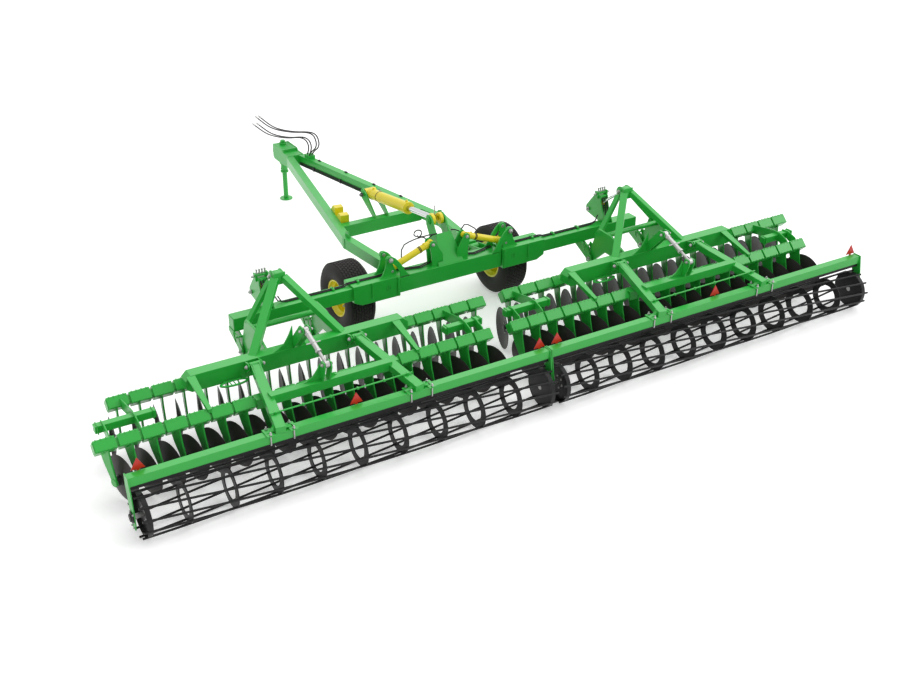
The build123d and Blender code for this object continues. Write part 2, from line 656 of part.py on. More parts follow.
# Wings: beam, fold sleeve with its ears, and the three-point brackets
WING_LOW = CARRIER_TOP - WING_BEAM
UPPER_LUG = LINK_HALF + GAP + LINK_PLATE / 2
LOWER_LUG = UNIT_LUG / 2 + GAP + LINK_PLATE / 2
for name, side in SIDES.items():
    unit_x = side * UNIT_CENTRE
    with BuildPart() as wing_beam:
        block(
            (min(side * SLEEVE_IN_X, side * WING_END_X), CARRIER_Y, WING_LOW),
            (max(side * SLEEVE_IN_X, side * WING_END_X), CARRIER_Y + WING_BEAM, CARRIER_TOP),
        )
        plate(
            face_plane(CENTRE_MID_Y),
            [
                (side * SLEEVE_IN_X, CENTRE_LOW - SLEEVE_WALL),
                (side * (SLEEVE_OUT_X - 110), CENTRE_LOW - SLEEVE_WALL),
                (side * SLEEVE_OUT_X, WING_LOW - SLEEVE_WALL),
                (side * SLEEVE_OUT_X, CARRIER_TOP + SLEEVE_WALL),
                (side * SLEEVE_IN_X, CARRIER_TOP + SLEEVE_WALL),
            ],
            CENTRE_BEAM + 2 * SLEEVE_WALL,
        )
        for offset in (-EAR_INNER, EAR_INNER):
            plate(
                face_plane(CENTRE_MID_Y + offset),
                [
                    (side * (SLEEVE_IN_X + 10), CARRIER_TOP + SLEEVE_WALL - 5),
                    (side * (FOLD_PIN_X + 190), CARRIER_TOP + SLEEVE_WALL - 5),
                    (side * (FOLD_PIN_X + 50), FOLD_PIN_Z + 30),
                    (side * (FOLD_PIN_X + 20), FOLD_PIN_Z + 50),
                    (side * (FOLD_PIN_X - 40), FOLD_PIN_Z + 40),
                    (side * (FOLD_EYE_X - 45), FOLD_EYE_Z + 40),
                ],
                EAR,
            )
        rod(
            (side * FOLD_PIN_X, CENTRE_MID_Y - CENTRE_BEAM, FOLD_PIN_Z),
            (side * FOLD_PIN_X, CENTRE_MID_Y + CENTRE_BEAM, FOLD_PIN_Z),
            FOLD_PIN_RADIUS + RUN,
            Mode.SUBTRACT,
        )
        for pin_x in (-LOWER_PIN_X, LOWER_PIN_X):
            for offset in (-LOWER_LUG, LOWER_LUG):
                plate(
                    side_plane(unit_x + pin_x + offset),
                    [
                        (CARRIER_Y + 5, WING_LOW + 10),
                        (CARRIER_Y + WING_BEAM - 5, WING_LOW + 10),
                        (CARRIER_Y + WING_BEAM - 5, WING_LOW - 40),
                        (LOWER_PIN_Y + 40, LOWER_PIN_Z - 50),
                        (LOWER_PIN_Y - 45, LOWER_PIN_Z - 45),
                        (LOWER_PIN_Y - 45, LOWER_PIN_Z + 45),
                    ],
                    LINK_PLATE,
                )
            stud(
                (unit_x + pin_x - LOWER_LUG - 20, LOWER_PIN_Y, LOWER_PIN_Z),
                (unit_x + pin_x + LOWER_LUG + 20, LOWER_PIN_Y, LOWER_PIN_Z),
                LOWER_PIN_RADIUS,
            )
        for offset in (-UPPER_LUG, UPPER_LUG):
            plate(
                side_plane(unit_x + offset),
                [
                    (CARRIER_Y + 2, CARRIER_TOP - 10),
                    (CARRIER_Y + 20, CARRIER_TOP + 330),
                    (CARRIER_Y + 110, CARRIER_TOP + 340),
                    (UPPER_PIN[1] + 60, UPPER_PIN[2] + 50),
                    (UPPER_PIN[1] + 60, UPPER_PIN[2] - 50),
                    (CARRIER_Y + WING_BEAM, CARRIER_TOP - 10),
                ],
                LINK_PLATE,
            )
        stud(
            (unit_x - UPPER_LUG - 15, UPPER_PIN[1], UPPER_PIN[2]),
            (unit_x + UPPER_LUG + 15, UPPER_PIN[1], UPPER_PIN[2]),
            LINK_PIN_RADIUS,
        )
    finish(wing_beam, f"wing_beam_{name}")

# Unit: upper link between the wing's bracket and the tower's apex
with BuildPart() as upper_link:
    rod(along(UPPER_PIN, APEX_PIN, 30), along(UPPER_PIN, APEX_PIN, 430), 38)
    rod(along(UPPER_PIN, APEX_PIN, 400), along(UPPER_PIN, APEX_PIN, 760), 20)
    for centre in (UPPER_PIN, APEX_PIN):
        rod((-LINK_HALF, centre[1], centre[2]), (LINK_HALF, centre[1], centre[2]), 42)
        stud((-60, centre[1], centre[2]), (60, centre[1], centre[2]), LINK_PIN_RADIUS, Mode.SUBTRACT)
finish_pair(upper_link, "upper_link")

# Unit: tower with its apex, front posts, rear legs, lower plates and cross tube
MAIN_FRONT = MAIN_Y + MAIN_DEPTH
MAIN_LOW = MAIN_TOP - MAIN_HEIGHT
with BuildPart() as tower:
    for side in SIDES.values():
        apex = (side * TOWER_TOP_X, APEX_Y - 20, APEX_Z - 10)
        foot = (MAIN_SHIFT + side * TOWER_FOOT_X, MAIN_Y + MAIN_DEPTH / 2, MAIN_TOP - 60)
        bar(apex, foot, *TOWER_BAR)
    split(bisect_by=Plane.XY.offset(MAIN_TOP), keep=Keep.TOP)
    for side in SIDES.values():
        post_top = (side * (TOWER_TOP_X - 6), APEX_Y + 10, APEX_Z - 20)
        bar(post_top, (side * LOWER_PIN_X, ROLLER_Y + 1840, 1010), 70, 60)
        plate(
            side_plane(side * UPPER_LUG),
            [
                (APEX_Y - 70, APEX_Z - 90),
                (APEX_Y + 60, APEX_Z - 100),
                (APEX_Y + 90, APEX_Z - 30),
                (APEX_Y + 60, APEX_Z + 30),
                (APEX_Y, APEX_Z + 45),
                (APEX_Y - 70, APEX_Z + 30),
            ],
            LINK_PLATE,
        )
        plate(
            side_plane(side * LOWER_PIN_X),
            [
                (MAIN_FRONT, MAIN_TOP - 160),
                (MAIN_FRONT, MAIN_TOP - 5),
                (ROLLER_Y + 1600, 1060),
                (ROLLER_Y + 1860, 1060),
                (LOWER_PIN_Y + 45, LOWER_PIN_Z + 40),
                (LOWER_PIN_Y + 45, LOWER_PIN_Z - 40),
                (LOWER_PIN_Y - 40, LOWER_PIN_Z - 45),
                (ROLLER_Y + 1700, MAIN_TOP - 160),
            ],
            UNIT_LUG,
        )
    rod((-LOWER_PIN_X, ROLLER_Y + 1740, 1000), (LOWER_PIN_X, ROLLER_Y + 1740, 1000), 35)
    stud(
        (-UPPER_LUG - 15, APEX_PIN[1], APEX_PIN[2]),
        (UPPER_LUG + 15, APEX_PIN[1], APEX_PIN[2]),
        LINK_PIN_RADIUS,
    )
    stud(
        (-UNIT_HALF, LOWER_PIN_Y, LOWER_PIN_Z),
        (UNIT_HALF, LOWER_PIN_Y, LOWER_PIN_Z),
        LOWER_PIN_RADIUS,
        Mode.SUBTRACT,
    )
finish_pair(tower, "tower")

def sweep_gussets(y, foot, top, reach, short):
    """Add the curved gussets on both sides of the turnbuckle's lugs, at y and from foot to top."""
    edge = TURN_EYE_WIDTH / 2 + GAP + LINK_PLATE
    rise = top - foot
    for side, width, height in ((-1, reach, rise), (1, short, rise * 0.75)):
        start = TURN_X + side * (edge - 8)
        plate(
            face_plane(y),
            [
                (start, foot - 5),
                (start, foot + height),
                (start + side * (8 + width * 0.15), foot + height * 0.62),
                (start + side * (8 + width * 0.38), foot + height * 0.28),
                (start + side * (8 + width * 0.70), foot + height * 0.07),
                (start + side * (8 + width), foot - 5),
            ],
            LINK_PLATE,
        )


# Unit: main beam with its row brackets, hinge plates and turnbuckle lugs
TURN_LUG = TURN_EYE_WIDTH / 2 + GAP + LINK_PLATE / 2
DEPTH_LUG = ARM_WIDTH / 2 + ARM_GAP + LINK_PLATE / 2
with BuildPart() as main_frame:
    left = MAIN_SHIFT - MAIN_HALF
    right = MAIN_SHIFT + MAIN_HALF
    plate(
        face_plane(MAIN_Y + MAIN_DEPTH / 2),
        [
            (left, MAIN_LOW + 40),
            (left, MAIN_TOP - 60),
            (left + 60, MAIN_TOP),
            (right - 60, MAIN_TOP),
            (right, MAIN_TOP - 60),
            (right, MAIN_LOW + 40),
            (right - 60, MAIN_LOW),
            (left + 60, MAIN_LOW),
        ],
        MAIN_DEPTH,
    )
    for gap in FRONT_GAPS:
        plate(
            side_plane(FRONT_FIRST + DISC_PITCH * (gap + 0.5)),
            [
                (MAIN_FRONT - 10, MAIN_LOW + 30),
                (MAIN_FRONT - 10, MAIN_TOP - 50),
                (FRONT_ROW_Y - ROW_TUBE / 2, ROW_Z + 45),
                (FRONT_ROW_Y - ROW_TUBE / 2, ROW_Z - 45),
            ],
            30,
        )
    for gap in REAR_GAPS:
        plate(
            side_plane(REAR_FIRST + DISC_PITCH * (gap + 0.5)),
            [
                (MAIN_Y + 10, MAIN_TOP - 10),
                (MAIN_Y + 10, MAIN_TOP - 70),
                (REAR_ROW_Y + 40, ROW_Z + ROW_TUBE / 2),
                (REAR_ROW_Y - 40, ROW_Z + ROW_TUBE / 2),
                (REAR_ROW_Y - 40, ROW_Z + ROW_TUBE / 2 + 40),
            ],
            30,
        )
        flange_top = Vector(REAR_FIRST + DISC_PITCH * (gap + 0.5), MAIN_Y + 10, MAIN_TOP - 10)
        flange_run = Vector(0, REAR_ROW_Y - 40 - flange_top.Y, ROW_Z + ROW_TUBE / 2 + 40 - flange_top.Z)
        plate(
            Plane(origin=flange_top, x_dir=(1, 0, 0), z_dir=Vector(1, 0, 0).cross(flange_run)),
            [(-50, 0), (50, 0), (22, flange_run.length), (-22, flange_run.length)],
            16,
        )
    for side in SIDES.values():
        hinge_x = ARM_SHIFT + side * ARM_SPREAD_HINGE
        for offset in (-DEPTH_LUG, DEPTH_LUG):
            plate(
                side_plane(hinge_x + offset),
                [
                    (MAIN_Y + 5, MAIN_LOW + 40),
                    (MAIN_Y + 5, MAIN_TOP - 5),
                    (DEPTH_Y, DEPTH_Z + 45),
                    (DEPTH_Y - 35, DEPTH_Z + 20),
                    (DEPTH_Y - 35, DEPTH_Z - 30),
                    (DEPTH_Y, DEPTH_Z - 50),
                ],
                LINK_PLATE,
            )
        rod(
            (hinge_x - DEPTH_LUG - 15, DEPTH_Y, DEPTH_Z),
            (hinge_x + DEPTH_LUG + 15, DEPTH_Y, DEPTH_Z),
            DEPTH_PIN_RADIUS,
        )
    for offset in (-TURN_LUG, TURN_LUG):
        plate(
            side_plane(TURN_X + offset),
            [
                (MAIN_Y + 5, MAIN_TOP - 5),
                (MAIN_FRONT - 5, MAIN_TOP - 5),
                (TURN_TOP[1] + 60, TURN_TOP[2] + 40),
                (TURN_TOP[1] - 20, TURN_TOP[2] + 40),
                (TURN_TOP[1] - 40, TURN_TOP[2] - 20),
            ],
            LINK_PLATE,
        )
    rod(
        (TURN_X - TURN_LUG - 15, TURN_TOP[1], TURN_TOP[2]),
        (TURN_X + TURN_LUG + 15, TURN_TOP[1], TURN_TOP[2]),
        TURN_PIN_RADIUS,
    )
    sweep_gussets(MAIN_Y + 20, MAIN_TOP, TURN_TOP[2] - 60, 260, 90)
finish_pair(main_frame, "main_frame")

# Unit: row tubes with a clamp block for each disc arm, and the links between the rows
with BuildPart() as row_tubes:
    for first, row_y, row_z, facing, count in DISC_ROWS + MIDDLE_ROWS:
        last = first + DISC_PITCH * (count - 1)
        block(
            (first - ROW_OVERHANG, row_y - ROW_TUBE / 2, row_z - ROW_TUBE / 2),
            (last + ROW_OVERHANG, row_y + ROW_TUBE / 2, row_z + ROW_TUBE / 2),
        )
        with Locations([(first + DISC_PITCH * k, row_y, row_z) for k in range(count)]):
            Box(*BLOCK)
    for x, front_y, rear_y in ROW_LINKS:
        front_z = MIDDLE_ROW_Z if front_y == MIDDLE_ROW_Y else ROW_Z
        plate(
            side_plane(x),
            [
                (front_y - ROW_TUBE / 2 + 5, front_z - 40),
                (front_y - ROW_TUBE / 2 + 5, front_z + 40),
                (rear_y + ROW_TUBE / 2 - 5, ROW_Z + 40),
                (rear_y + ROW_TUBE / 2 - 5, ROW_Z - 40),
            ],
            20,
        )
finish_pair(row_tubes, "row_tubes")


# Unit: one disc arm for each row, seen from its clamp block's centre
def disc_facing(facing):
    """Direction in which the hollow side of a disc looks."""
    angle = math.radians(DISC_ANGLE)
    return Vector(facing * math.cos(angle), math.sin(angle), 0)


def disc_arm(facing, row_z):
    """Make one arm with its hub, from the clamp block's underside to the disc."""
    top = Vector(0, -ARM_START, -BLOCK[2] / 2)
    hub = Vector(facing * ARM_TIP_SHIFT, -DISC_TRAIL, DISC_Z - row_z)
    run = Vector(0, hub.Y, hub.Z) - top
    tip = facing * ARM_TIP_SHIFT
    with BuildPart() as arm:
        with BuildSketch(Plane(origin=top, x_dir=(1, 0, 0), z_dir=Vector(1, 0, 0).cross(run))) as leaf:
            with BuildLine():
                Polyline(
                    (-ARM_TOP / 2, -10),
                    (ARM_TOP / 2, -10),
                    (ARM_NECK / 2, 70),
                    (tip + ARM_TIP / 2, run.length + 20),
                    (tip - ARM_TIP / 2, run.length + 20),
                    (-ARM_NECK / 2, 70),
                    close=True,
                )
            make_face()
        extrude(leaf.sketch, amount=ARM_THICKNESS / 2, both=True)
        split(bisect_by=Plane.XY.offset(-BLOCK[2] / 2), keep=Keep.BOTTOM)
        with BuildSketch(Plane(origin=hub, z_dir=disc_facing(facing))) as boss:
            RegularPolygon(HUB_RADIUS, HUB_SIDES)
        extrude(boss.sketch, amount=HUB_LENGTH)
    return arm


def disc_ring(radius, height):
    """Corners of one ring of the disc, in order round its axis."""
    turns = [2 * math.pi * k / DISC_SIDES for k in range(DISC_SIDES)]
    return [Vector(radius * math.cos(turn), radius * math.sin(turn), height) for turn in turns]


DISC_RINGS = (
    disc_ring(DISC_FLAT, 0),
    disc_ring(DISC_RADIUS, DISC_DISH),
    disc_ring(DISC_RADIUS, DISC_DISH + DISC_EDGE),
    disc_ring(DISC_FLAT, DISC_THICKNESS),
)
disc_faces = [Face(Wire.make_polygon(DISC_RINGS[0][::-1])), Face(Wire.make_polygon(DISC_RINGS[-1]))]
for low, high in zip(DISC_RINGS, DISC_RINGS[1:]):
    for k in range(DISC_SIDES):
        after = (k + 1) % DISC_SIDES
        disc_faces.append(Face(Wire.make_polygon([low[k], low[after], high[after], high[k]])))
with BuildPart() as disc:
    add(Solid(Shell(disc_faces)))

with BuildPart() as disc_arms:
    for first, row_y, row_z, facing, count in DISC_ROWS:
        arm = disc_arm(facing, row_z)
        with Locations([(first + DISC_PITCH * k, row_y, row_z) for k in range(count)]):
            add(arm.part)
finish_pair(disc_arms, "disc_arms")
with BuildPart() as discs:
    for first, row_y, row_z, facing, count in DISC_ROWS:
        look = disc_facing(facing)
        hub = Vector(first + facing * ARM_TIP_SHIFT, row_y - DISC_TRAIL, DISC_Z) + look * HUB_LENGTH
        turned = disc.part.moved(Plane(origin=hub, z_dir=look).location)
        with Locations([(DISC_PITCH * k, 0, 0) for k in range(count)]):
            add(turned)
finish_pair(discs, "discs")

# Roller frame: beam with end plates, two arms, cross beam and turnbuckle lugs
FRAME_IN = UNIT_HALF - END_PLATE
BEAM_MID_Y = ROLLER_Y + ROLLER_BEAM / 2
with BuildPart() as roller_frame:
    block(
        (-FRAME_IN, ROLLER_Y, ROLLER_BEAM_TOP - ROLLER_BEAM),
        (FRAME_IN, ROLLER_Y + ROLLER_BEAM, ROLLER_BEAM_TOP),
    )
    for side in SIDES.values():
        plate(
            side_plane(side * (UNIT_HALF - END_PLATE / 2)),
            [
                (ROLLER_Y - 10, ROLLER_BEAM_TOP + 8),
                (ROLLER_Y + ROLLER_BEAM + 10, ROLLER_BEAM_TOP + 8),
                (ROLLER_Y + ROLLER_BEAM + 10, ROLLER_BEAM_TOP - ROLLER_BEAM - 10),
                (ROLLER_Y + 70, ROLLER_RADIUS + 70),
                (ROLLER_Y + 70, ROLLER_RADIUS - 60),
                (ROLLER_Y + 40, END_PLATE_LOW),
                (ROLLER_Y - 40, END_PLATE_LOW),
                (ROLLER_Y - 70, ROLLER_RADIUS - 60),
                (ROLLER_Y - 70, ROLLER_RADIUS + 70),
            ],
            END_PLATE,
        )
        hinge = (ARM_SHIFT + side * ARM_SPREAD_HINGE, DEPTH_Y, DEPTH_Z)
        landing = (ARM_SHIFT + side * ARM_SPREAD_BEAM, BEAM_MID_Y - 60, ROLLER_BEAM_TOP + ARM_HEIGHT / 2 - 8)
        bar(along(hinge, landing, 40), landing, ARM_WIDTH, ARM_HEIGHT)
        eye_half = DEPTH_LUG - LINK_PLATE / 2 - GAP
        rod((hinge[0] - eye_half, DEPTH_Y, DEPTH_Z), (hinge[0] + eye_half, DEPTH_Y, DEPTH_Z), 45)
        rod(
            (hinge[0] - ARM_WIDTH, DEPTH_Y, DEPTH_Z),
            (hinge[0] + ARM_WIDTH, DEPTH_Y, DEPTH_Z),
            DEPTH_PIN_RADIUS + RUN,
            Mode.SUBTRACT,
        )
        plate(
            side_plane(TURN_X + side * TURN_LUG),
            [
                (CROSS_Y - CROSS_BEAM / 2 + 5, CROSS_Z + CROSS_BEAM / 2 - 5),
                (CROSS_Y + CROSS_BEAM / 2 - 5, CROSS_Z + CROSS_BEAM / 2 - 5),
                (TURN_LOW[1] + 40, TURN_LOW[2] + 35),
                (TURN_LOW[1] - 35, TURN_LOW[2] + 35),
                (TURN_LOW[1] - 45, TURN_LOW[2] - 30),
            ],
            LINK_PLATE,
        )
    cross_half = (ARM_SPREAD_HINGE + ARM_SPREAD_BEAM) / 2
    block(
        (ARM_SHIFT - cross_half, CROSS_Y - CROSS_BEAM / 2, CROSS_Z - CROSS_BEAM / 2),
        (ARM_SHIFT + cross_half, CROSS_Y + CROSS_BEAM / 2, CROSS_Z + CROSS_BEAM / 2),
    )
    sweep_gussets(CROSS_Y + 20, CROSS_Z + CROSS_BEAM / 2, TURN_LOW[2] - 20, 230, 120)
    rod(
        (-UNIT_HALF - 1, ROLLER_Y, ROLLER_RADIUS),
        (UNIT_HALF + 1, ROLLER_Y, ROLLER_RADIUS),
        STUB_RADIUS + RUN,
        Mode.SUBTRACT,
    )
finish_pair(roller_frame, "roller_frame")

turn_barrel, turn_rod = ram(TURN_TOP, TURN_LOW, (1, 0, 0), TURN_SIZES, TURN_INSERTED)
finish_pair(turn_barrel, "turn_barrel")
finish_pair(turn_rod, "turn_rod")

# Roller: helical bars let into hoops, end drums and stub shafts
ROLLER_HALF = FRAME_IN - ROLLER_END_GAP
BAR_CENTRE = ROLLER_RADIUS - BAR_RADIUS


def bar_point(x, start_angle):
    """Point of a helical bar's centre line at x."""
    angle = math.radians(start_angle + BAR_TWIST * (x + ROLLER_HALF) / (2 * ROLLER_HALF))
    return (x, ROLLER_Y + BAR_CENTRE * math.cos(angle), ROLLER_RADIUS + BAR_CENTRE * math.sin(angle))


with BuildPart() as roller:
    for k in range(BAR_COUNT):
        stations = [-ROLLER_HALF + 2 * ROLLER_HALF * j / BAR_SPANS for j in range(BAR_SPANS + 1)]
        points = [bar_point(x, 360 / BAR_COUNT * k) for x in stations]
        with BuildLine() as helix:
            Polyline(*points)
        with BuildSketch(Plane(origin=points[0], z_dir=(1, 0, 0))) as section:
            RegularPolygon(BAR_RADIUS, BAR_SIDES)
        sweep(section.sketch, path=helix.wires()[0], transition=Transition.RIGHT)
    for k in range(HOOP_COUNT):
        hoop_x = HOOP_PITCH * (k - (HOOP_COUNT - 1) / 2)
        with BuildSketch(Plane(origin=(hoop_x, ROLLER_Y, ROLLER_RADIUS), z_dir=(1, 0, 0))) as hoop:
            RegularPolygon(HOOP_OUTER, HOOP_SIDES)
            RegularPolygon(HOOP_OUTER - HOOP_WIDTH, HOOP_SIDES, mode=Mode.SUBTRACT)
        extrude(hoop.sketch, amount=HOOP_THICKNESS / 2, both=True)
    for side in SIDES.values():
        drum_x = side * (ROLLER_HALF - BAR_OVERHANG)
        drum = Plane(origin=(drum_x, ROLLER_Y, ROLLER_RADIUS), x_dir=(0, 1, 0), z_dir=(-side, 0, 0))
        with BuildSketch(drum) as wall:
            RegularPolygon(HOOP_OUTER, HOOP_SIDES)
        extrude(wall.sketch, amount=DRUM_RIM)
        with BuildSketch(drum) as hollow:
            RegularPolygon(HOOP_OUTER - DRUM_WALL, HOOP_SIDES)
        extrude(hollow.sketch, amount=DRUM_RIM - DRUM_WALL, mode=Mode.SUBTRACT)
        rod(
            (side * (ROLLER_HALF - BAR_OVERHANG - DRUM_RIM), ROLLER_Y, ROLLER_RADIUS),
            (side * UNIT_HALF, ROLLER_Y, ROLLER_RADIUS),
            STUB_RADIUS,
        )
finish_pair(roller, "roller")

# Triangular rear reflectors on the front face of the roller beam
with BuildPart() as reflectors:
    for x in REFLECTOR_PLACES:
        plate(
            face_plane(ROLLER_Y + ROLLER_BEAM + REFLECTOR_THICKNESS / 2),
            [
                (x - 15, ROLLER_BEAM_TOP - 50),
                (x + 15, ROLLER_BEAM_TOP - 50),
                (x + 15, REFLECTOR_LOW),
                (x + REFLECTOR_SIDE / 2, REFLECTOR_LOW),
                (x, REFLECTOR_LOW + REFLECTOR_SIDE * math.sqrt(3) / 2),
                (x - REFLECTOR_SIDE / 2, REFLECTOR_LOW),
                (x - 15, REFLECTOR_LOW),
            ],
            REFLECTOR_THICKNESS,
        )
finish_pair(reflectors, "reflectors")

# Scraper rail below the roller beam, with a blade between each two hoops
with BuildPart() as scrapers:
    block(
        (-FRAME_IN, ROLLER_Y + SCRAPER_Y, SCRAPER_Z - SCRAPER_RAIL),
        (FRAME_IN, ROLLER_Y + SCRAPER_Y + SCRAPER_RAIL, SCRAPER_Z),
    )
    for k in range(HOOP_COUNT - 1):
        blade_x = HOOP_PITCH * (k - (HOOP_COUNT - 2) / 2)
        plate(
            face_plane(ROLLER_Y + SCRAPER_Y + 6),
            [
                (blade_x - SCRAPER_WIDTH / 2, SCRAPER_Z - SCRAPER_RAIL + 2),
                (blade_x + SCRAPER_WIDTH / 2, SCRAPER_Z - SCRAPER_RAIL + 2),
                (blade_x + SCRAPER_WIDTH / 2 - 12, SCRAPER_LOW),
                (blade_x - SCRAPER_WIDTH / 2 + 12, SCRAPER_LOW),
            ],
            8,
        )
finish_pair(scrapers, "scrapers")

# Guide on the right drawbar arm that the tractor's hoses leave
with BuildPart() as hose_guide:
    block(GUIDE_LOW, GUIDE_HIGH)
finish(hose_guide, "hose_guide")

# Hoses to the tractor: straight runs joined by tangent arcs
for number, (route, start_x, end_x) in enumerate(HOSES, 1):
    reach = route[-1][0] - route[0][0]
    stops = []
    for y, z in route:
        share = max(0.0, (y - route[0][0]) / reach)
        stops.append(Vector(start_x + (end_x - start_x) * share, ROLLER_Y + y, z))
    radii = []
    for before, corner, after in zip(stops, stops[1:], stops[2:]):
        first_run, next_run = corner - before, after - corner
        turn = math.radians(first_run.get_angle(next_run))
        radii.append(0.45 * min(first_run.length, next_run.length) / math.tan(turn / 2))
    with BuildPart() as hitch_hose:
        with BuildLine() as hose_line:
            FilletPolyline(*stops, radius=radii)
        with BuildSketch(Plane(origin=stops[0], z_dir=stops[1] - stops[0])) as hose_end:
            Circle(HOSE_RADIUS)
        sweep(hose_end.sketch, path=hose_line.wires()[0])
    print(f"hose {number}: length {hose_line.wires()[0].length:.0f}, radii", [round(r) for r in radii])
    print(f"  volume {hitch_hose.part.volume:.0f}", math.pi * HOSE_RADIUS**2 * hose_line.wires()[0].length)
    finish(hitch_hose, f"hitch_hose_{number}")
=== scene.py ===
"""Blender scene of a trailed disc harrow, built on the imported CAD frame.

Metres. +Y points forward to the tow eye, +X to the right and +Z up, as in the CAD. Each
sub-assembly class adds the pieces that it owns and says which CAD body they ride on. What is
called ahead is a distance forward of the roller's axis, and an outline of a plate that stands
along the machine is a list of (ahead, height) pairs.
"""

import json
import logging
import math
from collections.abc import Sequence
from dataclasses import dataclass, field
from enum import Enum

import bpy
from mathutils import Matrix, Vector

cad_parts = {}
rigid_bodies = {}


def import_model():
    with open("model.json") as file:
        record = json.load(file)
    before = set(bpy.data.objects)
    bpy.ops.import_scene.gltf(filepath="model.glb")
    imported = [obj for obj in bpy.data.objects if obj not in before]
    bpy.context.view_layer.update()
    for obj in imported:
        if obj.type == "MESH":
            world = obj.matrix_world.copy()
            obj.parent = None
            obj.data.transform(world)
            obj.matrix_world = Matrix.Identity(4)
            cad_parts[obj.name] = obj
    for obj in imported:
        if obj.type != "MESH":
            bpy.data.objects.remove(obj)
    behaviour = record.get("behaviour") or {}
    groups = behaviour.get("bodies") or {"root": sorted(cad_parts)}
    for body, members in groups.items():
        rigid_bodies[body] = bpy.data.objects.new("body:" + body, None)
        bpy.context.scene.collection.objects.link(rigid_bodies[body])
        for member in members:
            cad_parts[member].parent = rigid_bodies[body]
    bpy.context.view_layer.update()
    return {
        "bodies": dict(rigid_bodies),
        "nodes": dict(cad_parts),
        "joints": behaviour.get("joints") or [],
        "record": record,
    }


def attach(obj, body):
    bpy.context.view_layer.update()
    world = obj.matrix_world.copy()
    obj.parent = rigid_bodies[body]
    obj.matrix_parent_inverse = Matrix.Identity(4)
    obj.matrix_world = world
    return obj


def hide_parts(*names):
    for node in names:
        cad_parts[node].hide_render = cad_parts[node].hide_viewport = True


LOG = logging.getLogger("harrow")

Point = tuple[float, float, float]
Pair = tuple[float, float]
Spot = Point | Vector
Outline = Sequence[Pair]

SIDES = {"left": -1.0, "right": 1.0}
ROLLER_Y = -3.730
UNIT_HALF = 2.4975
UNIT_CENTRE = 2.5025
BEAM_Y = ROLLER_Y + 2.315
BEAM_TOP = 0.911

# Discs of one unit.
PITCH = 0.250
COUNT = 19
TRAIL = 0.090
TIP_SHIFT = 0.030
DISC_HEIGHT = 0.295

# Pins across a unit, as (ahead, height), and the places across where they are repeated.
APEX_PIN = (1.960, 1.470)
LINK_PIN = (2.600, 1.000)
LOWER_PIN = (1.990, 0.590)
LOWER_PIN_X = (-0.440, 0.440)
TURN_X = -0.130
TURN_TOP = (0.910, 1.270)
TURN_EYE = (0.414, 1.086)
ARM_PIN = (1.080, 0.910)
ARM_HINGES = (-0.680, 0.570)
ARM_LANDINGS = (-0.875, 0.765)

# Pins of the carrier: the lift cylinder's and drawbar's as (ahead, height), the fold pins as (x, height).
LIFT_EYE = (2.600, 1.385)
LIFT_BASE = (4.420, 1.110)
DRAW_PIN_X = 0.640
DRAW_PIN = (2.700, 0.800)
FOLD_PIN = (0.880, 1.170)
FOLD_BASE = (0.250, 1.215)
FOLD_EYE = (0.840, 0.995)


class Slot(Enum):
    """Material slots of the record."""

    GREEN = "green_paint"
    YELLOW = "yellow_paint"
    BLACK = "black_paint"
    ROLLER = "roller_paint"
    DISC = "disc_steel"
    STEEL = "steel"
    CHROME = "chrome"
    TYRE = "tyre"
    RED = "red_plastic"
    HOSE = "hose_rubber"


class Shading(Enum):
    """How the faces of a new piece are shaded."""

    FLAT = "flat"
    SMOOTH = "smooth"
    BY_ANGLE = "by_angle"


@dataclass(frozen=True)
class DiscRow:
    """One row of discs: place of its first disc across the unit, its place ahead and its turns."""

    first: float
    ahead: float
    facing: int
    arm_turn: float


DISC_ROWS = (DiscRow(-2.130, 1.440, -1, 9.0), DiscRow(-2.505, 0.690, 1, 20.0))


@dataclass(frozen=True)
class Finish:
    """Surface finish of one slot; colours are linear."""

    colour: tuple[float, float, float]
    roughness: float
    metallic: float = 0.0
    coat: float = 0.0
    mottle: float = 0.06
    mottle_scale: float = 3.0
    grain_scale: float = 220.0
    grain: float = 0.02
    dust: float = 0.0
    specular: float = 0.5


FINISHES: dict[Slot, Finish] = {
    Slot.GREEN: Finish((0.020, 0.455, 0.048), 0.33, coat=0.16, mottle=0.10, grain=0.015),
    Slot.YELLOW: Finish((0.86, 0.72, 0.012), 0.34, coat=0.08, mottle=0.06, grain=0.015),
    Slot.BLACK: Finish((0.010, 0.010, 0.011), 0.42, mottle=0.2, specular=0.3),
    Slot.ROLLER: Finish((0.010, 0.010, 0.011), 0.40, mottle=0.25, dust=0.03, specular=0.25),
    Slot.DISC: Finish(
        (0.034, 0.029, 0.028), 0.48, metallic=0.2, mottle=0.3, mottle_scale=9.0, grain=0.05, specular=0.35
    ),
    Slot.STEEL: Finish((0.46, 0.46, 0.45), 0.36, metallic=0.9, mottle=0.2, mottle_scale=30.0, grain=0.05),
    Slot.CHROME: Finish((0.66, 0.67, 0.68), 0.14, metallic=1.0, mottle=0.04),
    Slot.TYRE: Finish(
        (0.022, 0.020, 0.019), 0.72, mottle=0.25, mottle_scale=6.0, grain=0.15, dust=0.06, specular=0.3
    ),
    Slot.HOSE: Finish((0.014, 0.014, 0.014), 0.48, mottle=0.2, mottle_scale=12.0, grain=0.08, specular=0.3),
    Slot.RED: Finish((0.62, 0.010, 0.006), 0.30, coat=0.1, mottle=0.05, grain=0.0),
}


def plug(tree: bpy.types.NodeTree, socket: bpy.types.NodeSocket, value: float | bpy.types.NodeSocket) -> None:
    """Link an input to another node's output, or set it to a constant.

    Args:
        tree: The node tree.
        socket: The input.
        value: The constant or the output.
    """
    if isinstance(value, bpy.types.NodeSocket):
        tree.links.new(value, socket)
    else:
        socket.default_value = value


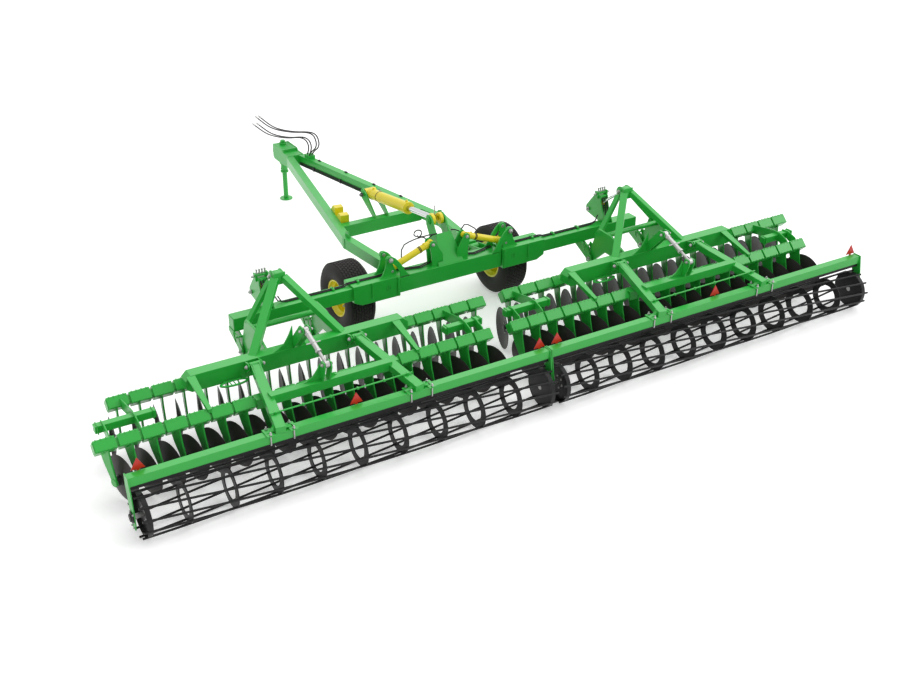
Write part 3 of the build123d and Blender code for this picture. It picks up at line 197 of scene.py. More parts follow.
def math_node(
    tree: bpy.types.NodeTree, operation: str, *values: float | bpy.types.NodeSocket
) -> bpy.types.NodeSocket:
    """Add a math node.

    Args:
        tree: The node tree.
        operation: Name of the operation.
        values: Its inputs, each a constant or another node's output.
    Returns:
        The node's output.
    """
    node = tree.nodes.new("ShaderNodeMath")
    node.operation = operation
    for socket, value in zip(node.inputs, values):
        plug(tree, socket, value)
    return node.outputs[0]


class NodeGroups:
    """Shader node groups that several materials share."""

    DUST_COLOUR = (0.34, 0.30, 0.25, 1.0)
    DUST_TOP = 0.55
    ROUGHNESS_SWING = 0.16
    GRAIN_DEPTH = 0.002

    def __init__(self) -> None:
        """Build the groups."""
        self.surface = self._surface()

    def _noise(
        self,
        tree: bpy.types.NodeTree,
        place: bpy.types.NodeSocket,
        scale: float | bpy.types.NodeSocket,
        detail: float,
    ) -> bpy.types.NodeSocket:
        """Add a noise texture.

        Args:
            tree: The node tree.
            place: The coordinates.
            scale: Its scale, as a constant or an output.
            detail: Number of octaves.
        Returns:
            The noise's value.
        """
        node = tree.nodes.new("ShaderNodeTexNoise")
        node.inputs["Detail"].default_value = detail
        tree.links.new(place, node.inputs["Vector"])
        plug(tree, node.inputs["Scale"], scale)
        return node.outputs["Fac"]

    def _surface(self) -> bpy.types.ShaderNodeTree:
        """Build the group that varies colour and roughness and gives a fine bump.

        Returns:
            The node tree, with Color, Roughness and Normal outputs.
        """
        tree = bpy.data.node_groups.new("Surface variation", "ShaderNodeTree")
        face = tree.interface
        face.new_socket("Color", in_out="INPUT", socket_type="NodeSocketColor")
        face.new_socket("Edges", in_out="INPUT", socket_type="NodeSocketVector")
        for name in ("Roughness", "Mottle", "Mottle Scale", "Grain Scale", "Grain", "Dust"):
            face.new_socket(name, in_out="INPUT", socket_type="NodeSocketFloat")
        for name, kind in (("Color", "Color"), ("Roughness", "Float"), ("Normal", "Vector")):
            face.new_socket(name, in_out="OUTPUT", socket_type=f"NodeSocket{kind}")
        nodes, links = tree.nodes, tree.links
        given = nodes.new("NodeGroupInput").outputs
        made = nodes.new("NodeGroupOutput").inputs
        place = nodes.new("ShaderNodeTexCoord").outputs["Object"]

        cloud = self._noise(tree, place, given["Mottle Scale"], 5.0)
        signed = math_node(tree, "SUBTRACT", cloud, 0.5)
        value = nodes.new("ShaderNodeHueSaturation")
        plug(tree, value.inputs["Value"], math_node(tree, "MULTIPLY_ADD", signed, given["Mottle"], 1.0))
        plug(tree, value.inputs["Color"], given["Color"])
        rough = math_node(tree, "MULTIPLY_ADD", signed, self.ROUGHNESS_SWING, given["Roughness"])
        links.new(rough, made["Roughness"])

        split = nodes.new("ShaderNodeSeparateXYZ")
        links.new(place, split.inputs[0])
        low = nodes.new("ShaderNodeMapRange")
        low.inputs["From Min"].default_value = self.DUST_TOP
        low.inputs["From Max"].default_value = 0.0
        links.new(split.outputs["Z"], low.inputs["Value"])
        patches = self._noise(tree, place, 14.0, 6.0)
        dusty = math_node(tree, "MULTIPLY", low.outputs["Result"], patches)
        layer = nodes.new("ShaderNodeMix")
        layer.data_type = "RGBA"
        layer.inputs["B"].default_value = self.DUST_COLOUR
        links.new(math_node(tree, "MULTIPLY", dusty, given["Dust"]), layer.inputs["Factor"])
        links.new(value.outputs["Color"], layer.inputs["A"])
        links.new(layer.outputs["Result"], made["Color"])

        bump = nodes.new("ShaderNodeBump")
        bump.inputs["Distance"].default_value = self.GRAIN_DEPTH
        links.new(given["Grain"], bump.inputs["Strength"])
        links.new(self._noise(tree, place, given["Grain Scale"], 3.0), bump.inputs["Height"])
        links.new(given["Edges"], bump.inputs["Normal"])
        links.new(bump.outputs["Normal"], made["Normal"])
        return tree


class Palette:
    """One material for each slot of the record."""

    EDGE_RADIUS = 0.007
    COAT_ROUGHNESS = 0.12

    def __init__(self) -> None:
        """Make the materials around the shared groups."""
        self.groups = NodeGroups()
        self.materials = {slot: self._paint(slot, finish) for slot, finish in FINISHES.items()}

    def _paint(self, slot: Slot, finish: Finish) -> bpy.types.Material:
        """Make the material of one slot.

        Args:
            slot: The record's slot.
            finish: Its colour and surface values.
        Returns:
            The material.
        """
        material = bpy.data.materials.new(slot.value)
        material.use_nodes = True
        nodes, links = material.node_tree.nodes, material.node_tree.links
        shader = nodes["Principled BSDF"]
        effect = nodes.new("ShaderNodeGroup")
        effect.node_tree = self.groups.surface
        edges = nodes.new("ShaderNodeBevel")
        edges.samples = 4
        edges.inputs["Radius"].default_value = self.EDGE_RADIUS
        links.new(edges.outputs["Normal"], effect.inputs["Edges"])
        for name, value in (
            ("Color", (*finish.colour, 1.0)),
            ("Roughness", finish.roughness),
            ("Mottle", finish.mottle),
            ("Mottle Scale", finish.mottle_scale),
            ("Grain Scale", finish.grain_scale),
            ("Grain", finish.grain),
            ("Dust", finish.dust),
        ):
            effect.inputs[name].default_value = value
        for made, wanted in (("Color", "Base Color"), ("Roughness", "Roughness"), ("Normal", "Normal")):
            links.new(effect.outputs[made], shader.inputs[wanted])
        for name, value in (
            ("Metallic", finish.metallic),
            ("Coat Weight", finish.coat),
            ("Coat Roughness", self.COAT_ROUGHNESS),
            ("Specular IOR Level", finish.specular),
        ):
            shader.inputs[name].default_value = value
        return material

    def dress_frame(self, frame: dict) -> None:
        """Give every CAD node the material of its slot.
        """
        slots = {item["node"]: item["material_slot"] for item in frame["record"]["subparts"]}
        for name, piece in frame["nodes"].items():
            material = self.materials[Slot(slots[name])]
            piece.data.materials.clear()
            piece.data.materials.append(material)


PALETTE: Palette


def aim(start: Spot, end: Spot) -> Matrix:
    """Give the matrix at start whose Z axis points to end."""
    turn = (Vector(end) - Vector(start)).to_track_quat("Z", "Y").to_matrix().to_4x4()
    return Matrix.Translation(start) @ turn


def facing(spot: Spot, out: Spot) -> Matrix:
    """Give the matrix at a spot whose Z axis points along a direction."""
    return aim(spot, Vector(spot) + Vector(out))


def upright(x: float) -> Matrix:
    """Give the plane that stands along the machine at x: its axes are Y and Z."""
    return Matrix(((0, 0, 1, x), (1, 0, 0, 0), (0, 1, 0, 0), (0, 0, 0, 1)))


def facing_back(x: float, y: float) -> Matrix:
    """Give the plane that stands across the machine at y: its axes are X and Z."""
    return Matrix(((1, 0, 0, x), (0, 0, -1, y), (0, 1, 0, 0), (0, 0, 0, 1)))


def plane(across: Vector, rise: Vector, out: Vector, spot: Spot) -> Matrix:
    """Give the matrix of a plane from its two axes, its normal and its origin."""
    return Matrix([(across[k], rise[k], out[k], spot[k]) for k in range(3)] + [(0, 0, 0, 1)])


def circle(radius: float, count: int, start: float = 0.0) -> list[Pair]:
    """Give points round a circle.

    Args:
        radius: Its radius.
        count: Number of points.
        start: Angle of the first point, in radians.
    Returns:
        The points.
    """
    turns = [start + 2 * math.pi * k / count for k in range(count)]
    return [(radius * math.cos(turn), radius * math.sin(turn)) for turn in turns]


class Shape:
    """Points and faces of one piece, gathered before its mesh is made."""

    SHARP_ANGLE = 35.0

    def __init__(self) -> None:
        """Start with nothing."""
        self.points: list[Vector] = []
        self.faces: list[tuple[int, ...]] = []

    def add(self, points: list[Vector], faces: list[tuple[int, ...]], place: Matrix | None = None) -> None:
        """Add a part of the piece.

        Args:
            points: Its points.
            faces: Its faces, as numbers of those points.
            place: Matrix that moves the points into place.
        """
        start = len(self.points)
        self.points += [place @ p for p in points] if place else points
        self.faces += [tuple(start + k for k in face) for face in faces]

    def lathe(self, profile: Outline, place: Matrix, steps: int = 32, closed: bool = False) -> None:
        """Turn a profile round the local Z axis.

        Args:
            profile: (radius, height) pairs.
            place: Matrix whose Z axis is the axis of turning.
            steps: Number of steps round.
            closed: Whether the profile's last point joins its first.
        """
        count = len(profile)
        points = [Vector((r * x, r * y, h)) for x, y in circle(1.0, steps) for r, h in profile]
        faces: list[tuple[int, ...]] = []
        for step in range(steps):
            here, ahead = step * count, (step + 1) % steps * count
            for k in range(count if closed else count - 1):
                after = (k + 1) % count
                faces.append((here + k, ahead + k, ahead + after, here + after))
        if not closed:
            ends = ((profile[0][0], 0, -1), (profile[-1][0], count - 1, 1))
            for radius, k, order in ends:
                if radius > 1e-6:
                    faces.append(tuple(step * count + k for step in range(steps))[::order])
        self.add(points, faces, place)

    def rod(self, start: Spot, end: Spot, radius: float, steps: int = 12) -> None:
        """Add a round rod with small chamfers at its ends.

        Args:
            start: One end of its axis.
            end: The other end.
            radius: Its radius.
            steps: Number of sides.
        """
        length = (Vector(end) - Vector(start)).length
        edge = min(radius * 0.12, length * 0.1)
        profile = [(radius - edge, 0.0), (radius, edge), (radius, length - edge), (radius - edge, length)]
        self.lathe(profile, aim(start, end), steps)

    def slab(self, outline: Outline, place: Matrix, thickness: float) -> None:
        """Add a flat plate with an outline, centred on its plane.

        Args:
            outline: The outline's points, in the plane's own X and Y.
            place: Matrix of the plane.
            thickness: The plate's thickness.
        """
        count = len(outline)
        half = thickness / 2
        points = [Vector((x, y, z)) for z in (-half, half) for x, y in outline]
        faces: list[tuple[int, ...]] = [tuple(reversed(range(count))), tuple(range(count, 2 * count))]
        faces += [(k, (k + 1) % count, count + (k + 1) % count, count + k) for k in range(count)]
        self.add(points, faces, place)

    def fin(self, outline: Outline, x: float, thickness: float) -> None:
        """Add a plate that stands along the machine, with (ahead, height) pairs as its outline."""
        self.slab([(ROLLER_Y + ahead, z) for ahead, z in outline], upright(x), thickness)

    def wall(self, outline: Outline, sign: float, y: float, thickness: float) -> None:
        """Add a plate that stands across the machine at y, with (x, height) pairs, x times sign."""
        self.slab([(sign * x, z) for x, z in outline], facing_back(0.0, y), thickness)

    def brick(self, start: Spot, end: Spot) -> None:
        """Add a box between two opposite corners.

        Args:
            start: One corner.
            end: The opposite corner, which isn't lower.
        """
        (a, b), (c, d) = sorted((start[0], end[0])), sorted((start[1], end[1]))
        middle = Matrix.Translation((0, 0, (start[2] + end[2]) / 2))
        self.slab([(a, c), (b, c), (b, d), (a, d)], middle, end[2] - start[2])

    def pipe(self, route: Sequence[Spot], radius: float, steps: int = 10) -> None:
        """Add a round pipe along a route of points.

        Args:
            route: Points of its middle line.
            radius: Its radius.
            steps: Number of sides.
        """
        stops = [Vector(p) for p in route]
        points: list[Vector] = []
        for k, stop in enumerate(stops):
            ahead = stops[min(k + 1, len(stops) - 1)] - stops[max(k - 1, 0)]
            ahead.normalize()
            side = ahead.cross(Vector((0.0, 0.0, 1.0)))
            if side.length < 0.05:
                side = ahead.cross(Vector((1.0, 0.0, 0.0)))
            side.normalize()
            lift = side.cross(ahead)
            points += [stop + (side * x + lift * y) * radius for x, y in circle(1.0, steps)]
        faces: list[tuple[int, ...]] = []
        for here in range(0, (len(stops) - 1) * steps, steps):
            for step in range(steps):
                after = (step + 1) % steps
                faces.append((here + step, here + after, here + steps + after, here + steps + step))
        faces.append(tuple(reversed(range(steps))))
        faces.append(tuple((len(stops) - 1) * steps + step for step in range(steps)))
        self.add(points, faces)

    def band(self, rim: Outline, well: Outline, place: Matrix, thickness: float) -> None:
        """Add a flat plate between two closed outlines of the same count.

        Args:
            rim: The outer outline.
            well: The inner outline.
            place: Matrix of the plate's plane.
            thickness: The plate's thickness.
        """
        count = len(rim)
        half = thickness / 2
        rings = [(rim, -half), (rim, half), (well, half), (well, -half)]
        points = [Vector((x, y, z)) for ring, z in rings for x, y in ring]
        faces: list[tuple[int, ...]] = []
        for ring in range(4):
            here, there = ring * count, (ring + 1) % 4 * count
            for k in range(count):
                n = (k + 1) % count
                faces.append((here + k, here + n, there + n, there + k))
        self.add(points, faces, place)

    def diamond(self, span: Pair, y: float, z: float, side: float, cut: float) -> None:
        """Add a square bar that lies along X on one of its edges.

        Args:
            span: X of its two ends.
            y: Place of its centre line.
            z: Height of its centre line.
            side: Side of the square.
            cut: Size of the chamfers on its long edges.
        """
        low, high = span
        r = side / math.sqrt(2)
        outline = [(r - cut, -cut), (r - cut, cut), (cut, r - cut), (-cut, r - cut)]
        outline += [(-r + cut, cut), (-r + cut, -cut), (-cut, -r + cut), (cut, -r + cut)]
        place = Matrix.Translation((0.0, y, z)) @ upright((low + high) / 2)
        self.slab(outline, place, high - low)

    def bar(self, start: Spot, end: Spot, width: float, depth: float) -> None:
        """Add a straight box bar between two points.

        Args:
            start: One end of its middle line.
            end: The other end.
            width: Its level side.
            depth: Its other side.
        """
        run = Vector(end) - Vector(start)
        ahead = run.normalized()
        side = ahead.cross(Vector((0.0, 0.0, 1.0))).normalized()
        w, d = width / 2, depth / 2
        place = plane(side, side.cross(ahead), ahead, (Vector(start) + Vector(end)) / 2)
        self.slab([(-w, -d), (w, -d), (w, d), (-w, d)], place, run.length)

    def head(self, spot: Spot, out: Spot, size: float) -> None:
        """Add a plain six-sided bolt head of a radius, on a spot and pointing out."""
        self.lathe([(size, 0.0), (size, size), (size * 0.8, size * 1.2)], facing(spot, out), 6)

    def bolt(self, spot: Spot, out: Spot, size: float) -> None:
        """Add a washer with a six-sided head and the end of its shank.

        Args:
            spot: Where the washer's face lies.
            out: Direction in which the head points.
            size: Radius of the head.
        """
        place = facing(spot, out)
        self.lathe([(size * 1.35, 0.0), (size * 1.35, size * 0.25)], place, 14)
        self.lathe([(size, size * 0.25), (size, size * 1.05), (size * 0.86, size * 1.2)], place, 6)
        self.lathe([(size * 0.5, size * 1.2), (size * 0.5, size * 1.55)], place, 8)

    def make(
        self,
        name: str,
        slot: Slot,
        body: str,
        shading: Shading = Shading.FLAT,
        bevel: float = 0.0,
        replaced: str | None = None,
    ) -> bpy.types.Object:
        """Make the object and let it ride on its body.

        Args:
            name: Name of the piece.
            slot: Slot that it takes its finish from.
            body: CAD body that it moves with.
            shading: How its faces are shaded.
            bevel: Width of the bevel along sharp edges, or 0.
            replaced: CAD node that it stands in for, if any.
        Returns:
            The new object.
        """
        mesh = bpy.data.meshes.new(name)
        mesh.from_pydata([tuple(p) for p in self.points], [], self.faces)
        mesh.update()
        piece = bpy.data.objects.new(name, mesh)
        bpy.context.scene.collection.objects.link(piece)
        mesh.materials.append(PALETTE.materials[slot])
        if shading is not Shading.FLAT:
            mesh.shade_smooth()
        if shading is Shading.BY_ANGLE:
            mesh.set_sharp_from_angle(angle=math.radians(self.SHARP_ANGLE))
        if bevel:
            edge = piece.modifiers.new("Edges", "BEVEL")
            edge.width = bevel
            edge.segments = 2
            edge.limit_method = "ANGLE"
        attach(piece, body)
        if replaced:
            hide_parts(replaced)
        LOG.info("made %s on %s", name, body)
        return piece


@dataclass
class UnitPart:
    """Part of one harrow unit or wing: knows its side, its middle across and the wing's body."""

    side: str

    def __post_init__(self) -> None:
        """Work out what follows from the side."""
        self.sign = SIDES[self.side]
        self.centre = self.sign * UNIT_CENTRE
        self.wing = f"wing_{self.side}"


@dataclass
class DiscGang(UnitPart):
    """Two rows of concave discs on one unit."""

    radius: float = 0.268
    flat: float = 0.080
    dish: float = 0.045
    dish_power: float = 1.35
    wall: float = 0.006
    bore: float = 0.02
    angle: float = 16.0
    reach: float = 0.062
    bolts: int = 5
    bolt_ring: float = 0.062
    hub: Outline = ((0.036, -0.056), (0.050, -0.046), (0.052, -0.012), (0.066, -0.006), (0.066, -0.0005))
    cap: Outline = ((0.050, 0.0065), (0.046, 0.020), (0.030, 0.030), (0.0001, 0.031))

    def _profile(self) -> list[Pair]:
        """Give the closed profile of one disc: flat middle, dish and ground edge.

        Returns:
            (radius, height) pairs.
        """
        steps = 7
        back = [(self.bore, 0.0)]
        for k in range(steps + 1):
            share = k / steps
            back.append((self.flat + (self.radius - self.flat) * share, self.dish * share**self.dish_power))
        rim = back[-1]
        face = [(r - 0.002, h + self.wall) for r, h in reversed(back[1:])]
        face[0] = (rim[0] - 0.010, rim[1] + self.wall * 0.6)
        return back + face + [(self.bore, self.wall)]

    def build(self) -> None:
        """Add the discs and their hubs."""
        blades, hubs, bolts = Shape(), Shape(), Shape()
        profile = self._profile()
        angle = math.radians(self.angle)
        for row in DISC_ROWS:
            look = Vector((row.facing * math.cos(angle), math.sin(angle), 0.0))
            for k in range(COUNT):
                x = self.centre + row.first + row.facing * TIP_SHIFT + PITCH * k
                middle = Vector((x, ROLLER_Y + row.ahead - TRAIL, DISC_HEIGHT))
                place = facing(middle + look * self.reach, look)
                blades.lathe(profile, place, 40, closed=True)
                hubs.lathe(self.hub, place, 24)
                hubs.lathe(self.cap, place, 20)
                for u, v in circle(self.bolt_ring, self.bolts):
                    bolts.bolt(place @ Vector((u, v, self.cap[0][1])), look, 0.009)
        blades.make(
            f"disc_blades_{self.side}", Slot.DISC, self.wing, Shading.BY_ANGLE, replaced=f"discs_{self.side}"
        )
        hubs.make(f"disc_hubs_{self.side}", Slot.BLACK, self.wing, Shading.BY_ANGLE)
        bolts.make(f"disc_bolts_{self.side}", Slot.STEEL, self.wing)


@dataclass
class CageRoller(UnitPart):
    """Roller of helical bars on flat hoops, with closed end drums."""

    radius: float = 0.250
    bar: float = 0.013
    bars: int = 11
    bar_steps: int = 40
    twist: float = 110.0
    hoop_outer: float = 0.240
    hoop_width: float = 0.092
    hoop_count: int = 9
    hoop_pitch: float = 0.490
    hoop_wall: float = 0.012
    half: float = UNIT_HALF - 0.012 - 0.020
    overhang: float = 0.045
    drum: float = 0.055
    bolt_ring: float = 0.075

    def build(self) -> None:
        """Add the bars, hoops and drums."""
        body = f"roller_{self.side}"
        bars, rings, stubs = Shape(), Shape(), Shape()
        reach = self.radius - self.bar
        for k in range(self.bars):
            route = []
            for j in range(self.bar_steps + 1):
                x = -self.half + 2 * self.half * j / self.bar_steps
                angle = math.radians(360 / self.bars * k + self.twist * (x + self.half) / (2 * self.half))
                y, z = reach * math.cos(angle), reach * math.sin(angle)
                route.append((self.centre + x, ROLLER_Y + y, self.radius + z))
            bars.pipe(route, self.bar)
        for k in range(self.hoop_count):
            x = self.centre + self.hoop_pitch * (k - (self.hoop_count - 1) / 2)
            self._ring(rings, x, (self.hoop_outer - self.hoop_width, self.hoop_outer), self.hoop_wall)
        for end in (-1, 1):
            x = self.centre + end * (self.half - self.overhang - self.drum / 2)
            self._ring(rings, x, (self.hoop_outer - 0.008, self.hoop_outer), self.drum)
            wall = x - end * (self.drum / 2 - 0.006)
            self._ring(rings, wall, (0.028, self.hoop_outer - 0.004), 0.010)
            start = (wall - end * 0.01, ROLLER_Y, self.radius)
            stubs.rod(start, (self.centre + end * UNIT_HALF, ROLLER_Y, self.radius), 0.030, 24)
            for y, z in circle(self.bolt_ring, 6, math.radians(15)):
                stubs.bolt((wall + end * 0.006, ROLLER_Y + y, self.radius + z), (end, 0, 0), 0.011)
        bars.make(f"roller_bars_{self.side}", Slot.ROLLER, body, Shading.BY_ANGLE, replaced=body)
        rings.make(f"roller_hoops_{self.side}", Slot.ROLLER, body, Shading.BY_ANGLE, 0.0015)
        stubs.make(f"roller_stubs_{self.side}", Slot.STEEL, body, Shading.BY_ANGLE)

    def _ring(self, shape: Shape, x: float, radii: Pair, width: float) -> None:
        """Add a flat ring across the roller.

        Args:
            shape: What it is added to.
            x: Middle of the ring along the roller.
            radii: Its inner and outer radius.
            width: Its width along the roller.
        """
        inner, outer = radii
        half = width / 2
        profile = [(inner, -half), (outer, -half), (outer, half), (inner, half)]
        shape.lathe(profile, facing((x, ROLLER_Y, self.radius), (1, 0, 0)), 48, closed=True)


@dataclass
class RoadWheel:
    """Ribbed tyre on a dished rim."""

    side: str
    centre_x: float = 1.155
    axle_y: float = ROLLER_Y + 2.885
    radius: float = 0.465
    width: float = 0.400
    rim: float = 0.240
    rim_width: float = 0.320
    ribs: int = 8
    rib_fill: float = 0.40
    blocks: int = 54
    block_rise: float = 0.007
    block_turn: float = 14.0
    bolts: int = 8
    bolt_ring: float = 0.132

    def build(self) -> None:
        """Add the tyre, the rim and its bolts."""
        side = SIDES[self.side]
        body = f"wheel_{self.side}"
        out = facing((side * self.centre_x, self.axle_y, self.radius), (side, 0, 0))
        rubber, plate, bolts = Shape(), Shape(), Shape()
        span = self.width - 0.096
        rubber.lathe(self._tyre(span), out, 96, closed=True)
        self._lugs(rubber, out, span)
        rubber.make(f"tyre_blocked_{self.side}", Slot.TYRE, body, Shading.BY_ANGLE, replaced=f"tyre_{self.side}")
        for profile in self._rim():
            plate.lathe(profile, out, 64, closed=True)
        plate.make(f"rim_dished_{self.side}", Slot.YELLOW, body, Shading.BY_ANGLE, replaced=f"rim_{self.side}")
        for u, v in circle(self.bolt_ring, self.bolts):
            bolts.bolt(out @ Vector((u, v, 0.053)), (side, 0, 0), 0.014)
        bolts.lathe([(0.040, 0.118), (0.044, 0.122), (0.040, 0.146), (0.0001, 0.148)], out, 24)
        bolts.make(f"wheel_bolts_{self.side}", Slot.STEEL, body, Shading.BY_ANGLE)

    def _tyre(self, span: float) -> list[Pair]:
        """Give the closed profile of the tyre, with a groove beside each rib.

        Args:
            span: Width of the tread.
        Returns:
            (radius, place along the axle) pairs.
        """
        half = self.width / 2
        tread = self.radius - 0.001
        flank = [(self.rim + 0.001, 0.045), (self.rim + 0.02, 0.030), (self.rim + 0.05, 0.012)]
        flank += [(self.radius - 0.14, 0.001), (self.radius - 0.08, 0.003), (self.radius - 0.045, 0.014)]
        flank += [(self.radius - 0.016, 0.034)]
        profile = [(r, inset - half) for r, inset in flank]
        rib = span / self.ribs
        groove = [(0.007, 0.003), (0.006, 0.005), (0.006, rib - 0.005), (0.007, rib - 0.004)]
        groove += [(0.013, rib - 0.003), (0.013, rib + 0.001)]
        for k in range(self.ribs):
            start = -span / 2 + span * k / self.ribs
            profile += [(tread - depth, start + along) for depth, along in groove]
        return profile + [(r, half - inset) for r, inset in reversed(flank)]

    def _rim(self) -> tuple[list[Pair], list[Pair]]:
        """Give the closed profiles of the rim.

        Returns:
            The well and the dished web, as (radius, place along the axle) pairs.
        """
        r, edge = self.rim, self.rim_width / 2
        well = [(r, 0.004 - edge), (r + 0.012, 0.001 - edge), (r + 0.012, -edge - 0.001), (r - 0.012, 0.001 - edge)]
        well += [(r - 0.020, 0.030 - edge), (r - 0.045, 0.060 - edge), (r - 0.045, edge - 0.060)]
        well += [(r - 0.020, edge - 0.030), (r - 0.012, edge - 0.001), (r + 0.012, edge - 0.001)]
        well += [(r + 0.012, edge + 0.001), (r, edge - 0.004), (r - 0.008, edge - 0.034), (r - 0.036, edge - 0.066)]
        well += [(r - 0.036, 0.066 - edge), (r - 0.008, 0.034 - edge)]
        web = [(0.041, 0.000), (0.041, 0.120), (0.070, 0.118), (0.082, 0.100), (0.092, 0.060), (0.120, 0.052)]
        web += [(0.160, 0.056), (r - 0.046, 0.030), (r - 0.046, 0.018), (0.160, 0.040), (0.120, 0.036)]
        return well, web + [(0.090, 0.030)]

    def _lugs(self, shape: Shape, out: Matrix, span: float) -> None:
        """Add the raised tread blocks on the ribs, turned a little and staggered.

        Args:
            shape: What they are added to.
            out: Matrix of the wheel, with its axis outward.
            span: Width of the tread.
        """
        rib = span / self.ribs
        half = rib * self.rib_fill
        along = 0.68 * math.pi * self.radius / self.blocks
        block = [(-half, -along), (half, -along), (half, along), (-half, along)]
        tip = Matrix.Rotation(math.radians(90), 4, "Y")
        for k in range(self.ribs):
            seat = Matrix.Translation((self.radius - 0.001 - self.block_rise / 2, 0.0, rib * (k + 0.5) - span / 2))
            slant = Matrix.Rotation(math.radians(self.block_turn if k % 2 else -self.block_turn), 4, "Z")
            for step in range(self.blocks):
                turn = Matrix.Rotation(2 * math.pi * (step + 0.5 * (k % 2)) / self.blocks, 4, "Z")
                shape.slab(block, out @ turn @ seat @ tip @ slant, self.block_rise)


@dataclass
class Ram:
    """Hydraulic cylinder: collars on the CAD barrel, and the rod with its eye."""

    name: str
    base: Point
    eye: Point
    cross: Point
    barrel_radius: float
    rod_radius: float
    barrel_length: float
    eye_radius: float
    eye_width: float
    pin_radius: float
    inserted: float
    side: str = ""
    forked: bool = False
    fork_wall: float = 0.046
    fork_half: float = 0.034

    def build(self) -> None:
        """Add the collars, the black rings of painted shade and the ports on the barrel, and stand in for the rod."""
        suffix = f"_{self.side}" if self.side else ""
        self.label = f"{self.name}{suffix}"
        self.barrel = f"{self.name}_barrel{suffix}"
        self.rod = f"{self.name}_rod{suffix}"
        base, eye = Vector(self.base), Vector(self.eye)
        run = (eye - base).normalized()
        reach = (eye - base).length
        line = aim(base, eye)
        self._collars(line)
        side = Vector(self.cross)
        up = run.cross(side).normalized()
        up = up if up.z > 0 else -up
        r, length = self.barrel_radius, self.barrel_length
        ports = Shape()
        for along, rise in ((self.eye_radius + 0.05, 0.9), (length - 0.04, 0.95)):
            port = base + run * along + up * r * rise
            ports.rod(port, port + up * r * 0.42, r * 0.24)
        ports.make(f"{self.label}_ports", Slot.YELLOW, self.barrel, Shading.BY_ANGLE)
        shaft = Shape()
        end = base + run * (reach - self.eye_radius * 0.7)
        shaft.rod(base + run * (length - self.inserted), end, self.rod_radius, 32)
        shaft.make(f"{self.label}_shaft", Slot.CHROME, self.rod, Shading.BY_ANGLE, replaced=self.rod)
        self._head(line, aim(eye - side, eye), reach)

    def _collars(self, line: Matrix) -> None:
        """Add the collars of the barrel, and the black rings round it that paint the shade falling across it.

        Args:
            line: Matrix whose Z axis is the barrel's.
        """
        r, length = self.barrel_radius, self.barrel_length
        collars, painted_shade_bands = Shape(), Shape()
        for start, wide, swell in ((length - 0.075, 0.085, 1.10), (self.eye_radius + 0.005, 0.05, 1.07)):
            grow = r * swell
            bore = self.rod_radius + 0.001
            outline = [(r * 0.98, start), (grow, start + 0.004), (grow, start + wide - 0.006)]
            outline += [(grow - 0.006, start + wide), (bore, start + wide)]
            outline += [(bore, start + wide - 0.012)] if start > length / 2 else []
            collars.lathe(outline, line, 40)
        collars.make(f"{self.label}_collars", Slot.YELLOW, self.barrel, Shading.BY_ANGLE)
        # Black rings round the barrel near its base: painted shade, dark rings put where shade falls across the barrel.
        for at in (length * 0.27, length * 0.30)[: 1 if self.forked else 2]:
            inner, outer = r * 0.99, r + 0.0035
            painted_shade_bands.lathe([(inner, at), (outer, at), (outer, at + 0.010), (inner, at + 0.010)], line, 40)
        painted_shade_bands.make(f"{self.label}_bands", Slot.BLACK, self.barrel, Shading.BY_ANGLE)

    def _head(self, line: Matrix, across: Matrix, reach: float) -> None:
        """Add the rod's eye, or its fork.

        Args:
            line: Matrix at the base whose Z axis runs along the rod.
            across: Matrix one metre before the eye's middle, along its pin.
            reach: Distance between the two pins.
        """
        head = Shape()
        half, neck, bore = self.eye_width / 2, self.eye_radius, self.pin_radius + 0.001
        spans = ((-half, self.fork_wall - half), (half - self.fork_wall, half)) if self.forked else ((-half, half),)
        for low, high in spans:
            ring = [(bore, 1 + low), (neck - 0.004, 1 + low), (neck, 1.004 + low)]
            ring += [(neck, 0.996 + high), (neck - 0.004, 1 + high), (bore, 1 + high)]
            head.lathe(ring, across, 40, closed=True)
        wide = self.rod_radius * 1.45
        socket = [(self.rod_radius * 1.02, reach - neck * 1.9), (wide, reach - neck * 1.6), (wide, reach - neck * 0.85)]
        head.lathe(socket, line, 24)
        if self.forked:
            yoke = line @ Matrix.Translation((0, 0, reach - neck * 1.05))
            head.slab([(-half, -0.032), (half, -0.032), (half, 0.032), (-half, 0.032)], yoke, 0.030)
            cheek = line @ Matrix.Translation((0, 0, reach - neck * 0.75))
            wall = self.fork_half
            for low, high in spans:
                head.slab([(low, -wall), (high, -wall), (high, wall), (low, wall)], cheek, neck * 0.6)
        head.make(f"{self.label}_eye", Slot.YELLOW, self.rod, Shading.BY_ANGLE, 0.003)


